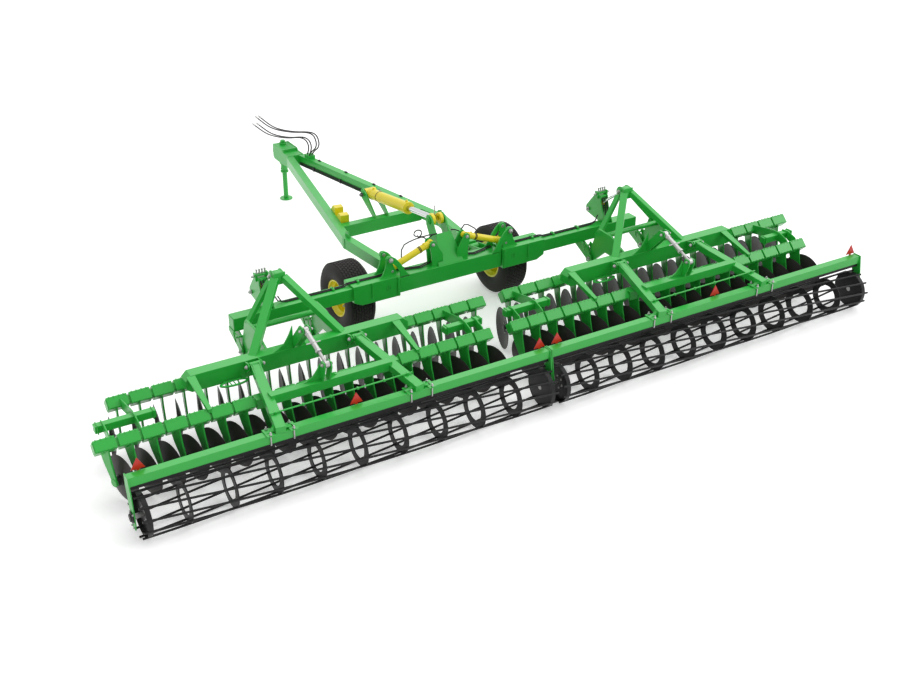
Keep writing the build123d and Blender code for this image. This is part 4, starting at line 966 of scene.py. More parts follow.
@dataclass
class Carrier:
    """Details of the carrier: pin heads, bosses, hoses, the level stick and the three cylinders."""

    lug_face: float = 0.106
    hose: float = 0.008
    front: float = BEAM_Y + 0.055
    swivel: float = BEAM_Y + 0.088
    lift_y: float = ROLLER_Y + LIFT_EYE[0]
    boss: Outline = (
        (0.052, 0.0005), (0.052, 0.012), (0.048, 0.016), (0.030, 0.016), (0.030, 0.024), (0.0001, 0.024),
    )

    def build(self) -> None:
        """Add the details on the carrier and the rams between it and its neighbours."""
        pins, bosses = Shape(), Shape()
        for side in SIDES.values():
            for out in (-1, 1):
                pins.bolt((side * FOLD_PIN[0], BEAM_Y + out * 0.121, FOLD_PIN[1]), (0, out, 0), 0.024)
            pins.bolt((side * FOLD_BASE[0], BEAM_Y - 0.072, FOLD_BASE[1]), (0, -1, 0), 0.018)
            face = (side * self.lug_face, self.lift_y, LIFT_EYE[1])
            bosses.lathe(self.boss, facing(face, (side, 0, 0)), 32)
        pins.rod((0.0, self.lift_y + 0.035, 1.425), (0.0, self.lift_y + 0.035, 1.556), 0.006, 10)
        pins.make("carrier_pins", Slot.STEEL, "carrier", Shading.BY_ANGLE)
        bosses.make("lift_pin_bosses", Slot.GREEN, "carrier", Shading.BY_ANGLE)
        hoses = self._hoses()
        self._port_hoses()
        hoses.make("carrier_hoses", Slot.HOSE, "carrier", Shading.SMOOTH)
        base, eye = (0.0, ROLLER_Y + LIFT_BASE[0], LIFT_BASE[1]), (0.0, self.lift_y, LIFT_EYE[1])
        Ram("lift", base, eye, (1, 0, 0), 0.075, 0.036, 1.120, 0.075, 0.160, 0.030, 0.500, forked=True).build()
        for name, side in SIDES.items():
            base = (side * FOLD_BASE[0], BEAM_Y, FOLD_BASE[1])
            eye = (side * FOLD_EYE[0], BEAM_Y, FOLD_EYE[1])
            Ram("fold", base, eye, (0, 1, 0), 0.042, 0.024, 0.570, 0.042, 0.050, 0.018, 0.470, name).build()

    def _hoses(self) -> Shape:
        """Gather the hoses that stay on the carrier, with the curl at the lift tower's left.

        Returns:
            The shape with the hoses.
        """
        hoses = Shape()
        for side in SIDES.values():
            for k in range(2):
                y = BEAM_Y + 0.030 + 0.034 * k
                stops = [(0.118, y, 0.99 - 0.02 * k), (0.17, y, 0.950), (0.26, y, 0.928)]
                stops += [(0.40, y - 0.05, 0.922), (0.56, y - 0.01, 0.922), (0.70, y + 0.03, 0.926)]
                hoses.pipe([(side * x, back, z) for x, back, z in stops], self.hose)
        curl = []
        for step in range(17):
            turn = math.radians(-100 + 24 * step)
            y = self.front + 0.030 + 0.002 * step
            curl.append((-0.372 + 0.052 * math.cos(turn), y, 1.335 + 0.044 * math.sin(turn)))
        leads = [(-0.107, BEAM_Y + 0.095, 1.268), (-0.22, BEAM_Y + 0.105, 1.275), (-0.30, self.front + 0.030, 1.282)]
        routes = [self._feed(-1.0, BEAM_Y + 0.075), leads + curl, self._feed(1.0, BEAM_Y + 0.085)]
        for route in routes:
            hoses.pipe(route, self.hose)
        return hoses

    def _feed(self, side: float, start: float) -> list[Point]:
        """Give the route from the lift tower to the swivel at a fold cylinder's base.

        Args:
            side: -1 for the left side, 1 for the right.
            start: Y of its start.
        Returns:
            The route's points.
        """
        places = ((0.107, start, 1.285), (0.16, self.swivel, 1.275), (0.215, self.swivel, 1.245))
        return [(side * x, y, z) for x, y, z in places + ((0.250, self.swivel, 1.215),)]

    def _port_hoses(self) -> None:
        """Add the hoses from the swivels to the fold cylinders' ports, which turn with them."""
        front, swivel = self.front, self.swivel
        ports = {
            "left": [
                (-0.250, swivel, 1.215), (-0.285, swivel, 1.262), (-0.34, front + 0.01, 1.290), (-0.44, front, 1.288),
                (-0.53, front, 1.270), (-0.594, front, 1.248), (-0.640, front - 0.01, 1.190),
                (-0.662, BEAM_Y + 0.012, 1.108),
            ],
            "right": [
                (0.250, swivel, 1.215), (0.262, swivel, 1.262), (0.290, front + 0.01, 1.320), (0.335, front, 1.318),
                (0.43, BEAM_Y + 0.045, 1.250), (0.498, BEAM_Y + 0.020, 1.166),
            ],
        }
        for name, route in ports.items():
            port = Shape()
            port.pipe(route, self.hose)
            port.make(f"port_hose_{name}", Slot.HOSE, f"fold_barrel_{name}", Shading.SMOOTH)


@dataclass
class Drawbar:
    """Details of the drawbar: pin heads, hoses along its right arm and the hoses to the tractor."""

    top: float = 0.875
    jack: float = ROLLER_Y + 7.380
    hose: float = 0.010
    line_stops: tuple[float, ...] = (6.86, 6.70, 6.20, 5.60, 5.00, 4.50, 4.24)
    clip_stops: tuple[float, ...] = (6.50, 5.85, 5.20, 4.60)
    low_route: Outline = (
        (6.755, 0.9285), (6.685, 1.020), (6.725, 1.125), (6.880, 1.145), (7.080, 1.095), (7.320, 1.015),
        (7.580, 0.945), (7.840, 0.890), (8.100, 0.850), (8.360, 0.850), (8.600, 0.870),
    )
    high_route: Outline = (
        (6.680, 0.9296), (6.585, 1.020), (6.450, 1.100), (6.385, 1.200), (6.455, 1.300), (6.610, 1.305),
        (6.860, 1.245), (7.130, 1.165), (7.400, 1.100), (7.670, 1.045), (7.930, 1.010), (8.190, 1.015),
        (8.430, 1.045),
    )
    coupler: Outline = (
        (0.0112, -0.055), (0.0128, -0.052), (0.0128, -0.012), (0.016, -0.010), (0.016, 0.012),
        (0.0135, 0.014), (0.0135, 0.040), (0.009, 0.043), (0.009, 0.058), (0.0001, 0.060),
    )

    def build(self) -> None:
        """Add the details and the four free hoses."""
        pins, hoses, clips, straps = Shape(), Shape(), Shape(), Shape()
        for side in SIDES.values():
            for out in (-1, 1):
                spot = (side * DRAW_PIN_X + out * 0.096, ROLLER_Y + DRAW_PIN[0], DRAW_PIN[1])
                pins.bolt(spot, (out, 0, 0), 0.022)
                pins.bolt((out * 0.127, ROLLER_Y + LIFT_BASE[0], LIFT_BASE[1]), (out, 0, 0), 0.024)
        pins.make("drawbar_pins", Slot.STEEL, "drawbar", Shading.BY_ANGLE)
        for k in range(3):
            route = [(self._arm_x(y) - 0.066, ROLLER_Y + y, 0.772 - 0.020 * k) for y in self.line_stops]
            hoses.pipe(route, 0.0070)
        for ahead in self.clip_stops:
            x, y = self._arm_x(ahead), ROLLER_Y + ahead
            clips.brick((x - 0.078, y - 0.012, 0.722), (x - 0.054, y + 0.012, 0.786))
            clips.bolt((x + 0.035, y, self.top), (0, 0, 1), 0.014)
            clips.brick((x + 0.020, y - 0.030, self.top), (x + 0.050, y + 0.030, self.top + 0.010))
        hoses.make("drawbar_hoses", Slot.HOSE, "drawbar", Shading.SMOOTH)
        clips.make("drawbar_clips", Slot.BLACK, "drawbar", bevel=0.002)
        self._head()
        self._jack_tube()
        for ahead in (4.27, 4.56):
            x, y = 0.060 - self._arm_x(ahead), ROLLER_Y + ahead
            straps.brick((x, y, 0.772), (x + 0.125, y + 0.035, 0.7795))
            straps.brick((x + 0.120, y, 0.772), (x + 0.125, y + 0.035, 0.860))
        straps.make("chock_straps", Slot.GREEN, "drawbar", bevel=0.0015)
        table = (
            (self.low_route, 0.135, 0.030, 2.122),
            (self.low_route, 0.180, 0.100, 2.121),
            (self.high_route, 0.130, 0.020, 2.519),
            (self.high_route, 0.175, 0.075, 2.518),
        )
        for number, (route, start_x, end_x, length) in enumerate(table, 1):
            self._free_hose(number, route, (start_x, end_x))

    def _arm_x(self, ahead: float) -> float:
        """Give how far an arm's centre line is from the machine's middle."""
        return 0.730 - 0.670 * (ahead - 3.700) / 3.400

    def _head(self) -> None:
        """Add the welded head at the drawbar's front."""
        head = Shape()
        wide, low, high, step = 0.130, 0.680, 0.920, 0.884
        cheek = [(6.900, low + 0.040), (6.900, step), (7.090, step), (7.120, high), (7.470, high)]
        cheek += [(7.480, high - 0.020), (7.480, low + 0.030), (7.440, low), (7.060, low)]
        for x in (-wide + 0.010, wide - 0.010):
            head.fin(cheek, x, 0.020)
        plates = (
            ((7.115, high - 0.022), (7.475, high - 0.004)),
            ((6.900, 0.876), (7.115, 0.880)),
            ((7.105, 0.876), (7.119, high - 0.020)),
            ((7.060, low + 0.004), (7.445, low + 0.020)),
            ((7.460, low + 0.030), (7.480, high - 0.022)),
            ((6.900, low + 0.044), (6.918, 0.878)),
        )
        inner = wide - 0.020
        for (rear, bottom), (front, top) in plates:
            head.brick((-inner, ROLLER_Y + rear, bottom), (inner, ROLLER_Y + front, top))
        head.make("drawbar_head_plates", Slot.GREEN, "drawbar", bevel=0.004, replaced="drawbar_head")

    def _jack_tube(self) -> None:
        """Add the jack's outer tube with its collar, ribs and cross pin."""
        tube = Shape()
        axis = Matrix.Translation((0.0, self.jack, 0.0))
        wall = [(0.0395, 0.455), (0.050, 0.455), (0.053, 0.460), (0.053, 0.944), (0.047, 0.950), (0.0395, 0.950)]
        tube.lathe(wall, axis, 36, closed=True)
        tube.lathe([(0.064, 0.455), (0.064, 0.478), (0.052, 0.482)], axis, 36)
        stand = Matrix.Rotation(math.radians(90), 4, "X")
        for turn in range(4):
            place = axis @ Matrix.Rotation(math.radians(45 + 90 * turn), 4, "Z") @ stand
            tube.slab([(0.050, 0.560), (0.115, 0.678), (0.050, 0.678)], place, 0.012)
        tube.rod((-0.062, self.jack, 0.520), (0.062, self.jack, 0.520), 0.010)
        tube.make("jack_outer_tube", Slot.GREEN, "drawbar", Shading.BY_ANGLE)

    def _free_hose(self, number: int, route: Outline, across: Pair) -> None:
        """Add one hose to the tractor, with the coupler on its end.

        Args:
            number: Number of the hose's CAD node.
            route: Its (ahead, height) points.
            across: Its places across the machine, at the guide and at its far end.
        """
        reach = route[-1][0] - route[0][0]
        stops = []
        for y, z in route:
            share = max(0.0, (y - route[0][0]) / reach)
            stops.append((across[0] + (across[1] - across[0]) * share, ROLLER_Y + y, z))
        name = f"hitch_hose_line_{number}"
        line = bpy.data.curves.new(name, "CURVE")
        line.dimensions = "3D"
        line.bevel_depth = self.hose
        line.bevel_resolution = 5
        line.resolution_u = 16
        line.use_fill_caps = True
        spline = line.splines.new("NURBS")
        spline.points.add(len(stops) - 1)
        for point, stop in zip(spline.points, stops):
            point.co = (*stop, 1.0)
        spline.order_u = 3
        spline.use_endpoint_u = True
        line.materials.append(PALETTE.materials[Slot.HOSE])
        hose = bpy.data.objects.new(name, line)
        bpy.context.scene.collection.objects.link(hose)
        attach(hose, "drawbar")
        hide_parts(f"hitch_hose_{number}")
        LOG.info("made %s on drawbar", name)
        tip = Shape()
        ahead = (Vector(stops[-1]) - Vector(stops[-2])).normalized()
        tip.lathe(self.coupler, facing(stops[-1], ahead), 20)
        coupler = tip.make(f"hitch_coupler_{number}", Slot.STEEL, "drawbar", Shading.BY_ANGLE)


@dataclass
class WingDetails(UnitPart):
    """Details on one wing and its harrow unit."""

    beam_rear: float = ROLLER_Y + 2.205
    sleeve_top: float = BEAM_TOP + 0.0243
    hose: float = 0.008

    def build(self) -> None:
        """Add every detail that rides on the wing."""
        self._beam()
        self._pins()
        self._hooks()
        self._ring()
        self._valves()
        self._apex()

    def _beam(self) -> None:
        """Add the sleeve's ribs, the hoses along the beam and their clips."""
        ribs, hoses, clips = Shape(), Shape(), Shape()
        rear, sign = self.beam_rear - 0.0242, self.sign
        for x, width, low, high in ((0.776, 0.024, 0.672, 0.930), (1.150, 0.012, 0.740, 0.930)):
            ribs.brick((sign * x, rear - 0.012, low), (sign * (x + width), rear - 0.0003, high))
        for k in range(3):
            x = 0.90 + 0.022 * k
            ribs.brick((sign * x, rear - 0.004, 0.780), (sign * (0.908 + 0.022 * k), rear - 0.0003, 0.850))
        ribs.make(f"sleeve_ribs_{self.side}", Slot.GREEN, self.wing, bevel=0.002)
        z = BEAM_TOP + 0.0085
        for k in range(2):
            y = self.beam_rear + 0.092 + 0.030 * k
            route = [(0.80, z + 0.024), (1.40, z + 0.024), (1.44, z + 0.020), (1.48, z + 0.004), (1.52, z)]
            route += [(1.9, z), (2.25 + 0.03 * k, z), (2.32 + 0.03 * k, z + 0.02), (2.36 + 0.03 * k, z + 0.10)]
            hoses.pipe([(sign * x, y, h) for x, h in route], self.hose)
        for x in (0.90, 1.28, 1.62, 2.02):
            low = self.sleeve_top if x < 1.41 else BEAM_TOP
            start = (sign * x, self.beam_rear + 0.070, low)
            clips.brick(start, (sign * (x + 0.028), self.beam_rear + 0.149, low + 0.024))
            clips.bolt((sign * (x + 0.014), self.beam_rear + 0.109, low + 0.024), (0, 0, 1), 0.009)
        hoses.make(f"wing_hoses_{self.side}", Slot.HOSE, self.wing, Shading.SMOOTH)
        clips.make(f"wing_clips_{self.side}", Slot.GREEN, self.wing, bevel=0.002)

    def _pins(self) -> None:
        """Add the heads of the pins of the tower, link, turnbuckle and roller frame."""
        pins = Shape()
        places = [(0.0, 0.0715, LINK_PIN, 0.022), (0.0, 0.0715, APEX_PIN, 0.022), (TURN_X, 0.0625, TURN_TOP, 0.016)]
        places += [(arm, 0.093, ARM_PIN, 0.019) for arm in ARM_HINGES]
        places += [(pin, 0.0495, LOWER_PIN, 0.020) for pin in LOWER_PIN_X]
        for out in (-1, 1):
            for across, reach, (ahead, z), size in places:
                pins.bolt((self.centre + across + out * reach, ROLLER_Y + ahead, z), (out, 0, 0), size)
        pins.make(f"unit_pins_{self.side}", Slot.STEEL, self.wing, Shading.BY_ANGLE)

    def _hooks(self) -> None:
        """Add the catches over the lower pins, with their handles."""
        hooks = Shape()
        outline = [(-0.050, -0.045), (0.050, -0.055), (0.075, 0.000), (0.085, 0.090), (0.120, 0.150)]
        outline += [(0.100, 0.190), (0.045, 0.175), (0.020, 0.110), (-0.030, 0.060), (-0.060, 0.010)]
        y, z = ROLLER_Y + LOWER_PIN[0], LOWER_PIN[1]
        for pin in LOWER_PIN_X:
            x = self.centre + pin
            for out in (-1, 1):
                place = Matrix.Translation((0.0, y, z)) @ upright(x + out * 0.0435)
                hooks.slab(outline, place, 0.010)
            hooks.rod((x - 0.060, y + 0.095, z + 0.145), (x + 0.060, y + 0.095, z + 0.145), 0.012)
            hooks.rod((x - 0.075, y + 0.070, z + 0.100), (x - 0.075, y + 0.120, z + 0.210), 0.009, 10)
        hooks.make(f"lower_hooks_{self.side}", Slot.GREEN, self.wing, Shading.BY_ANGLE, 0.002)

    def _ring(self) -> None:
        """Add the level oval ring behind the main beam, with its stays."""
        ring = Shape()
        x, y = self.centre - 0.930, ROLLER_Y + 1.085
        rim = [(0.170 * u, 0.066 * v) for u, v in circle(1.0, 40)]
        well = [(0.140 * u, 0.042 * v) for u, v in circle(1.0, 40)]
        ring.band(rim, well, Matrix.Translation((x, y, 0.765)), 0.014)
        for across in (-0.045, 0.0, 0.045):
            ring.brick((x + across - 0.006, y - 0.040, 0.766), (x + across + 0.006, y + 0.040, 0.772))
        for across in (-0.090, 0.090):
            ring.brick((x + across - 0.012, y + 0.035, 0.759), (x + across + 0.012, y + 0.0848, 0.771))
        ring.make(f"guide_ring_{self.side}", Slot.GREEN, self.wing, Shading.BY_ANGLE, 0.002)

    def _valves(self) -> None:
        """Add the valve blocks on the upper-link bracket, with their taps and lines."""
        valve, taps, lines = Shape(), Shape(), Shape()
        x, y = self.centre, ROLLER_Y + 2.405
        valve.brick((x - 0.045, y - 0.045, 1.200), (x + 0.045, y + 0.050, 1.262))
        for out in (-1, 1):
            valve.brick((x + out * 0.0645, y - 0.020, 1.225), (x + out * 0.085, y + 0.050, 1.320))
        valve.brick((x - 0.0645, y - 0.010, 1.282), (x + 0.0645, y + 0.040, 1.305))
        tap = [(0.013, 0.0), (0.013, 0.020), (0.009, 0.022), (0.009, 0.045), (0.013, 0.047), (0.013, 0.060)]
        tap += [(0.006, 0.064)]
        for k in range(4):
            taps.lathe(tap, facing((x - 0.052 + 0.035 * k, y + 0.015, 1.305), (0, 0, 1)), 14)
        for out in (-1, 1):
            taps.rod((x + out * 0.085, y + 0.015, 1.285), (x + out * 0.125, y + 0.015, 1.285), 0.014)
        valve.make(f"valve_block_{self.side}", Slot.GREEN, self.wing, bevel=0.004)
        taps.make(f"valve_taps_{self.side}", Slot.STEEL, self.wing, Shading.BY_ANGLE)
        drop = [(-0.045, 1.235), (-0.068, 1.225), (-0.082, 1.18), (-0.090, 1.10), (-0.100, 1.00), (-0.105, 0.913)]
        for k in range(3):
            lines.pipe([(x - 0.035 + 0.035 * k, y + back, z) for back, z in drop], self.hose)
        lines.make(f"valve_lines_{self.side}", Slot.HOSE, self.wing, Shading.SMOOTH)

    def _apex(self) -> None:
        """Add the bosses round the tower's apex pin."""
        boss = Shape()
        for out in (-1, 1):
            face = (self.centre + out * 0.0642, ROLLER_Y + APEX_PIN[0], APEX_PIN[1])
            boss.lathe([(0.058, 0.0), (0.058, 0.005), (0.054, 0.007), (0.024, 0.007)], facing(face, (out, 0, 0)), 28)
        boss.make(f"apex_bosses_{self.side}", Slot.GREEN, self.wing, Shading.BY_ANGLE)


@dataclass
class RollerFrameDetails(UnitPart):
    """Details on the roller frame of one unit."""

    beam: tuple[float, float, float] = (0.100, 0.600, 0.700)
    feet: tuple[float, ...] = (-0.990, -0.730, 0.660, 0.920)
    stays: tuple[float, ...] = (-0.840, -0.52, -0.20, 0.12, 0.44, 0.730)
    clamp_gap: float = 0.0095
    rod_spot: Pair = (ROLLER_Y + 0.200, 0.8245)

    def build(self) -> None:
        """Add the clamp bolts, foot plates, scraper rod and bearing flanges."""
        self.body = f"roller_frame_{self.side}"
        plates, clamps, rods = Shape(), Shape(), Shape()
        self._clamps(plates, clamps)
        self._gussets(plates)
        plates.make(f"foot_plates_{self.side}", Slot.GREEN, self.body, Shading.BY_ANGLE, 0.002)
        clamps.make(f"beam_clamps_{self.side}", Slot.STEEL, self.body, Shading.BY_ANGLE)
        y, z = self.rod_spot
        rods.rod((self.centre - 0.905, y, z), (self.centre + 0.790, y, z), 0.009, 14)
        for stay in self.stays:
            x = self.centre + stay
            rods.brick((x - 0.012, y - 0.014, 0.812), (x + 0.012, y + 0.014, 0.837))
        rods.make(f"scraper_rod_{self.side}", Slot.GREEN, self.body, Shading.BY_ANGLE, 0.001)
        self._bearing()
        self._turnbuckle()

    def _clamps(self, plates: Shape, clamps: Shape) -> None:
        """Add the foot plates on the beam with the clamp bolts round it.

        Args:
            plates: What the plates are added to.
            clamps: What the bolts are added to.
        """
        deep, low, high = self.beam
        front = ROLLER_Y + deep + self.clamp_gap
        rear = ROLLER_Y - self.clamp_gap
        for foot in self.feet:
            x = self.centre + foot
            for y in (rear, front):
                clamps.rod((x, y, low - 0.010), (x, y, high + 0.048), 0.009, 14)
                clamps.lathe([(0.017, 0.0), (0.017, 0.016)], facing((x, y, high + 0.0125), (0, 0, 1)), 6)
            clamps.rod((x, rear, low - 0.010), (x, front, low - 0.010), 0.009, 14)
            corner = (x + 0.045, ROLLER_Y + deep + 0.030, high + 0.012)
            plates.brick((x - 0.045, ROLLER_Y - 0.030, high + 0.0003), corner)

    def _gussets(self, plates: Shape) -> None:
        """Add the flared feet of the arms and the thin plates at their hinges.

        Args:
            plates: What they are added to.
        """
        flare = [(0.050, 0.790), (0.058, 0.762), (0.074, 0.738), (0.100, 0.721), (0.160, 0.7125), (0.050, 0.7125)]
        for arm in ARM_LANDINGS:
            for out in (-1, 1):
                place = facing_back(self.centre + arm, ROLLER_Y + 0.055)
                plates.slab([(out * x, z) for x, z in flare], place, 0.050)
        for hinge, landing in zip(ARM_HINGES, ARM_LANDINGS):
            for out in (-1, 1):
                x = self.centre + hinge
                start = Vector((x + out * 0.040, ROLLER_Y + 1.060, 0.955))
                end = Vector((x + (landing - hinge) * 0.26 + out * 0.040, ROLLER_Y + 0.800, 0.902))
                run = (end - start).normalized()
                side = run.cross(Vector((0, 0, 1))).normalized()
                reach = (end - start).length
                outline = [(0.0, -0.020), (0.0, 0.004), (reach, 0.004), (reach, -0.020)]
                plates.slab(outline, plane(run, side.cross(run), side, start), 0.009)

    def _bearing(self) -> None:
        """Add the roller's bearing flange with its bolts, and those of the turnbuckle's lower pin."""
        flange, bolts = Shape(), Shape()
        face = self.centre + self.sign * UNIT_HALF
        outline = [(0.062, 0.0003), (0.062, 0.012), (0.046, 0.018), (0.040, 0.030), (0.024, 0.032), (0.0001, 0.030)]
        flange.lathe(outline, facing((face, ROLLER_Y, 0.250), (self.sign, 0, 0)), 32)
        flange.make(f"bearing_flange_{self.side}", Slot.BLACK, self.body, Shading.BY_ANGLE)
        for across, z in ((0.045, 0.215), (0.045, 0.300), (0.030, 0.140)):
            for y in (-across, across):
                bolts.bolt((face + self.sign * 0.0003, ROLLER_Y + y, z), (self.sign, 0, 0), 0.010)
        for out in (-1, 1):
            spot = (self.centre + TURN_X + out * 0.0475, ROLLER_Y + TURN_EYE[0], TURN_EYE[1])
            bolts.bolt(spot, (out, 0, 0), 0.016)
        bolts.make(f"roller_frame_bolts_{self.side}", Slot.STEEL, self.body, Shading.BY_ANGLE)

    def _turnbuckle(self) -> None:
        """Add the nuts, thread and handle of the turnbuckle."""
        x = self.centre + TURN_X
        line = aim((x, ROLLER_Y + TURN_TOP[0], TURN_TOP[1]), (x, ROLLER_Y + TURN_EYE[0], TURN_EYE[1]))
        nuts = Shape()
        collars = ((0.038, 0.318, 0.344, 6), (0.036, 0.052, 0.075, 6), (0.0335, 0.175, 0.215, 24))
        for radius, start, end, steps in collars:
            nuts.lathe([(radius, start), (radius, end)], line, steps)
        nuts.lathe([(0.0195 if k % 2 else 0.0182, 0.346 + 0.0035 * k) for k in range(38)], line, 20)
        middle, reach = line @ Vector((0, 0, 0.195)), Vector((0.085, 0, 0))
        nuts.rod(middle - reach, middle + reach, 0.008, 10)
        nuts.make(f"turnbuckle_nuts_{self.side}", Slot.STEEL, f"turn_barrel_{self.side}", Shading.BY_ANGLE)


@dataclass
class RowTubes(UnitPart):
    """Row tubes on edge, with their clamps, the short tubes between the rows and the links."""

    height: float = 0.700
    tube: float = 0.092
    clamp: float = 0.135
    clamp_width: float = 0.224
    overhang: float = 0.110
    short_tubes: tuple[Pair, ...] = ((-2.520, -1.870), (1.640, 2.150))
    long_links: Pair = (-2.100, 1.895)
    short_links: Pair = (-2.430, 2.050)
    low_clamps: tuple[int, ...] = (7, 12, 13)
    long_link: Outline = (
        (1.400, 0.765), (1.020, 0.835), (0.900, 0.835), (0.760, 0.785), (0.690, 0.700),
        (0.735, 0.650), (0.800, 0.668), (0.900, 0.708), (1.020, 0.708), (1.395, 0.640),
    )
    short_link: Outline = (
        (1.010, 0.815), (0.905, 0.825), (0.765, 0.785), (0.690, 0.700),
        (0.735, 0.650), (0.800, 0.668), (0.905, 0.712), (1.010, 0.712),
    )

    def build(self) -> None:
        """Add the tubes, clamps, links and bolts of one unit."""
        tubes, clamps, bolts = Shape(), Shape(), Shape()
        centre, z = self.centre, self.height
        for row in DISC_ROWS:
            y = ROLLER_Y + row.ahead
            start = centre + row.first - self.overhang
            end = centre + row.first + PITCH * (COUNT - 1) + self.overhang
            tubes.diamond((start, end), y, z, self.tube, 0.008)
            for x in (start - 0.004, end + 0.004):
                tubes.diamond((x - 0.006, x + 0.006), y, z, self.tube + 0.020, 0.010)
            for k in range(COUNT):
                x = centre + row.first + PITCH * k
                half = self.clamp_width / 2
                if row is DISC_ROWS[1] and k in self.low_clamps:
                    clamps.brick((x - half, y - 0.065, z - 0.058), (x + half, y + 0.065, z + 0.058))
                else:
                    clamps.diamond((x - half, x + half), y, z, self.clamp, 0.006)
                    self._bolts(bolts, Vector((x, y, z)))
        for low, high in self.short_tubes:
            tubes.brick((centre + low, ROLLER_Y + 0.918, 0.718), (centre + high, ROLLER_Y + 1.002, 0.802))
            for x in (centre + low + 0.03, centre + high - 0.03):
                tubes.brick((x - 0.006, ROLLER_Y + 0.908, 0.706), (x + 0.006, ROLLER_Y + 1.012, 0.812))
        for places, outline in ((self.long_links, self.long_link), (self.short_links, self.short_link)):
            for x in places:
                tubes.fin(outline, centre + x, 0.014)
        replaced = f"row_tubes_{self.side}"
        tubes.make(f"row_bars_{self.side}", Slot.GREEN, self.wing, bevel=0.003, replaced=replaced)
        clamps.make(f"row_clamps_{self.side}", Slot.GREEN, self.wing, bevel=0.002)
        bolts.make(f"clamp_bolts_{self.side}", Slot.GREEN, self.wing)

    def _bolts(self, bolts: Shape, middle: Vector) -> None:
        """Add the bolt heads on the two upper faces of one clamp.

        Args:
            bolts: What they are added to.
            middle: The clamp's middle.
        """
        for facing_y in (-1, 1):
            out = Vector((0.0, facing_y * math.sqrt(0.5), math.sqrt(0.5)))
            slope = Vector((0.0, -facing_y * math.sqrt(0.5), math.sqrt(0.5)))
            face = middle + out * (self.clamp / 2)
            for across in (-0.080, -0.028, 0.028, 0.080):
                for along in (-0.057, 0.055):
                    bolts.head(face + slope * along + Vector((across, 0.0, 0.0)), out, 0.006)


@dataclass
class DiscArms(UnitPart):
    """Curved leaf arms, parallel to their discs, from the clamps to the hubs."""

    thickness: float = 0.020
    boss: float = 0.046
    outline: Outline = (
        (0.174, 0.700), (0.172, 0.640), (0.158, 0.570), (0.130, 0.490), (0.095, 0.420), (0.064, 0.360),
        (0.044, 0.310), (0.038, 0.268), (0.022, 0.246), (-0.014, 0.244), (-0.032, 0.264), (-0.038, 0.310),
        (-0.030, 0.370), (-0.016, 0.440), (0.000, 0.510), (0.012, 0.580), (0.018, 0.640), (0.016, 0.700),
    )

    def build(self) -> None:
        """Add the arms of both rows."""
        arms, bosses = Shape(), Shape()
        for row in DISC_ROWS:
            angle = math.radians(row.arm_turn)
            sine, cosine = math.sin(angle), math.cos(angle)
            back, out = Vector((-row.facing * sine, cosine, 0)), Vector((cosine, row.facing * sine, 0))
            for k in range(COUNT):
                x = self.centre + row.first + row.facing * TIP_SHIFT + PITCH * k
                place = plane(back, Vector((0, 0, 1)), out, (x, ROLLER_Y + row.ahead - TRAIL, 0))
                arms.slab(self.outline, place, self.thickness)
                low, high = (place @ Vector((0.0, DISC_HEIGHT, z)) for z in (-0.016, 0.016))
                bosses.rod(low, high, self.boss, 20)
        replaced = f"disc_arms_{self.side}"
        arms.make(f"leaf_arms_{self.side}", Slot.GREEN, self.wing, Shading.BY_ANGLE, 0.003, replaced)
        bosses.make(f"arm_bosses_{self.side}", Slot.GREEN, self.wing, Shading.BY_ANGLE)


@dataclass
class UpperLink(UnitPart):
    """Upper link of one unit: short cylinder at the bracket and a bright rod to the apex."""

    eye_radius: float = 0.042
    eye_half: float = 0.042
    bore: float = 0.0215
    barrel: Outline = (
        (0.024, 0.030), (0.036, 0.045), (0.036, 0.235), (0.041, 0.238), (0.041, 0.268), (0.036, 0.275), (0.022, 0.275),
    )

    def build(self) -> None:
        """Add the link and the plates that close the tower's apex."""
        x = self.centre
        low = (x, ROLLER_Y + LINK_PIN[0], LINK_PIN[1])
        high = (x, ROLLER_Y + APEX_PIN[0], APEX_PIN[1])
        line = aim(low, high)
        length = (Vector(high) - Vector(low)).length
        barrel, shaft, eye, cover = Shape(), Shape(), Shape(), Shape()
        barrel.lathe(self.barrel, line, 32)
        self._eye(barrel, low)
        barrel.make(f"link_barrel_{self.side}", Slot.YELLOW, self.wing, Shading.BY_ANGLE)
        shaft.rod(line @ Vector((0, 0, 0.250)), line @ Vector((0, 0, length - 0.030)), 0.019, 28)
        replaced = f"upper_link_{self.side}"
        shaft.make(f"link_rod_{self.side}", Slot.CHROME, self.wing, Shading.BY_ANGLE, replaced=replaced)
        self._eye(eye, high)
        eye.lathe([(0.021, length - 0.130), (0.028, length - 0.120), (0.028, length - 0.036)], line, 24)
        eye.make(f"link_eye_{self.side}", Slot.STEEL, self.wing, Shading.BY_ANGLE)
        y = ROLLER_Y + 1.930
        cover.brick((x - 0.074, y - 0.080, 1.395), (x + 0.074, y - 0.066, 1.541))
        cover.brick((x - 0.0475, y - 0.066, 1.526), (x + 0.0475, y + 0.020, 1.541))
        cover.make(f"apex_cover_{self.side}", Slot.GREEN, self.wing, bevel=0.004)

    def _eye(self, shape: Shape, centre: Point) -> None:
        """Add one eye of the link.

        Args:
            shape: What it is added to.
            centre: Middle of the eye.
        """
        half, r = self.eye_half, self.eye_radius
        place = aim((centre[0] - 1, centre[1], centre[2]), centre)
        ring = [(self.bore, 1 - half), (r - 0.003, 1 - half), (r, 1.003 - half)]
        ring += [(r, 0.997 + half), (r - 0.003, 1 + half), (self.bore, 1 + half)]
        shape.lathe(ring, place, 32, closed=True)


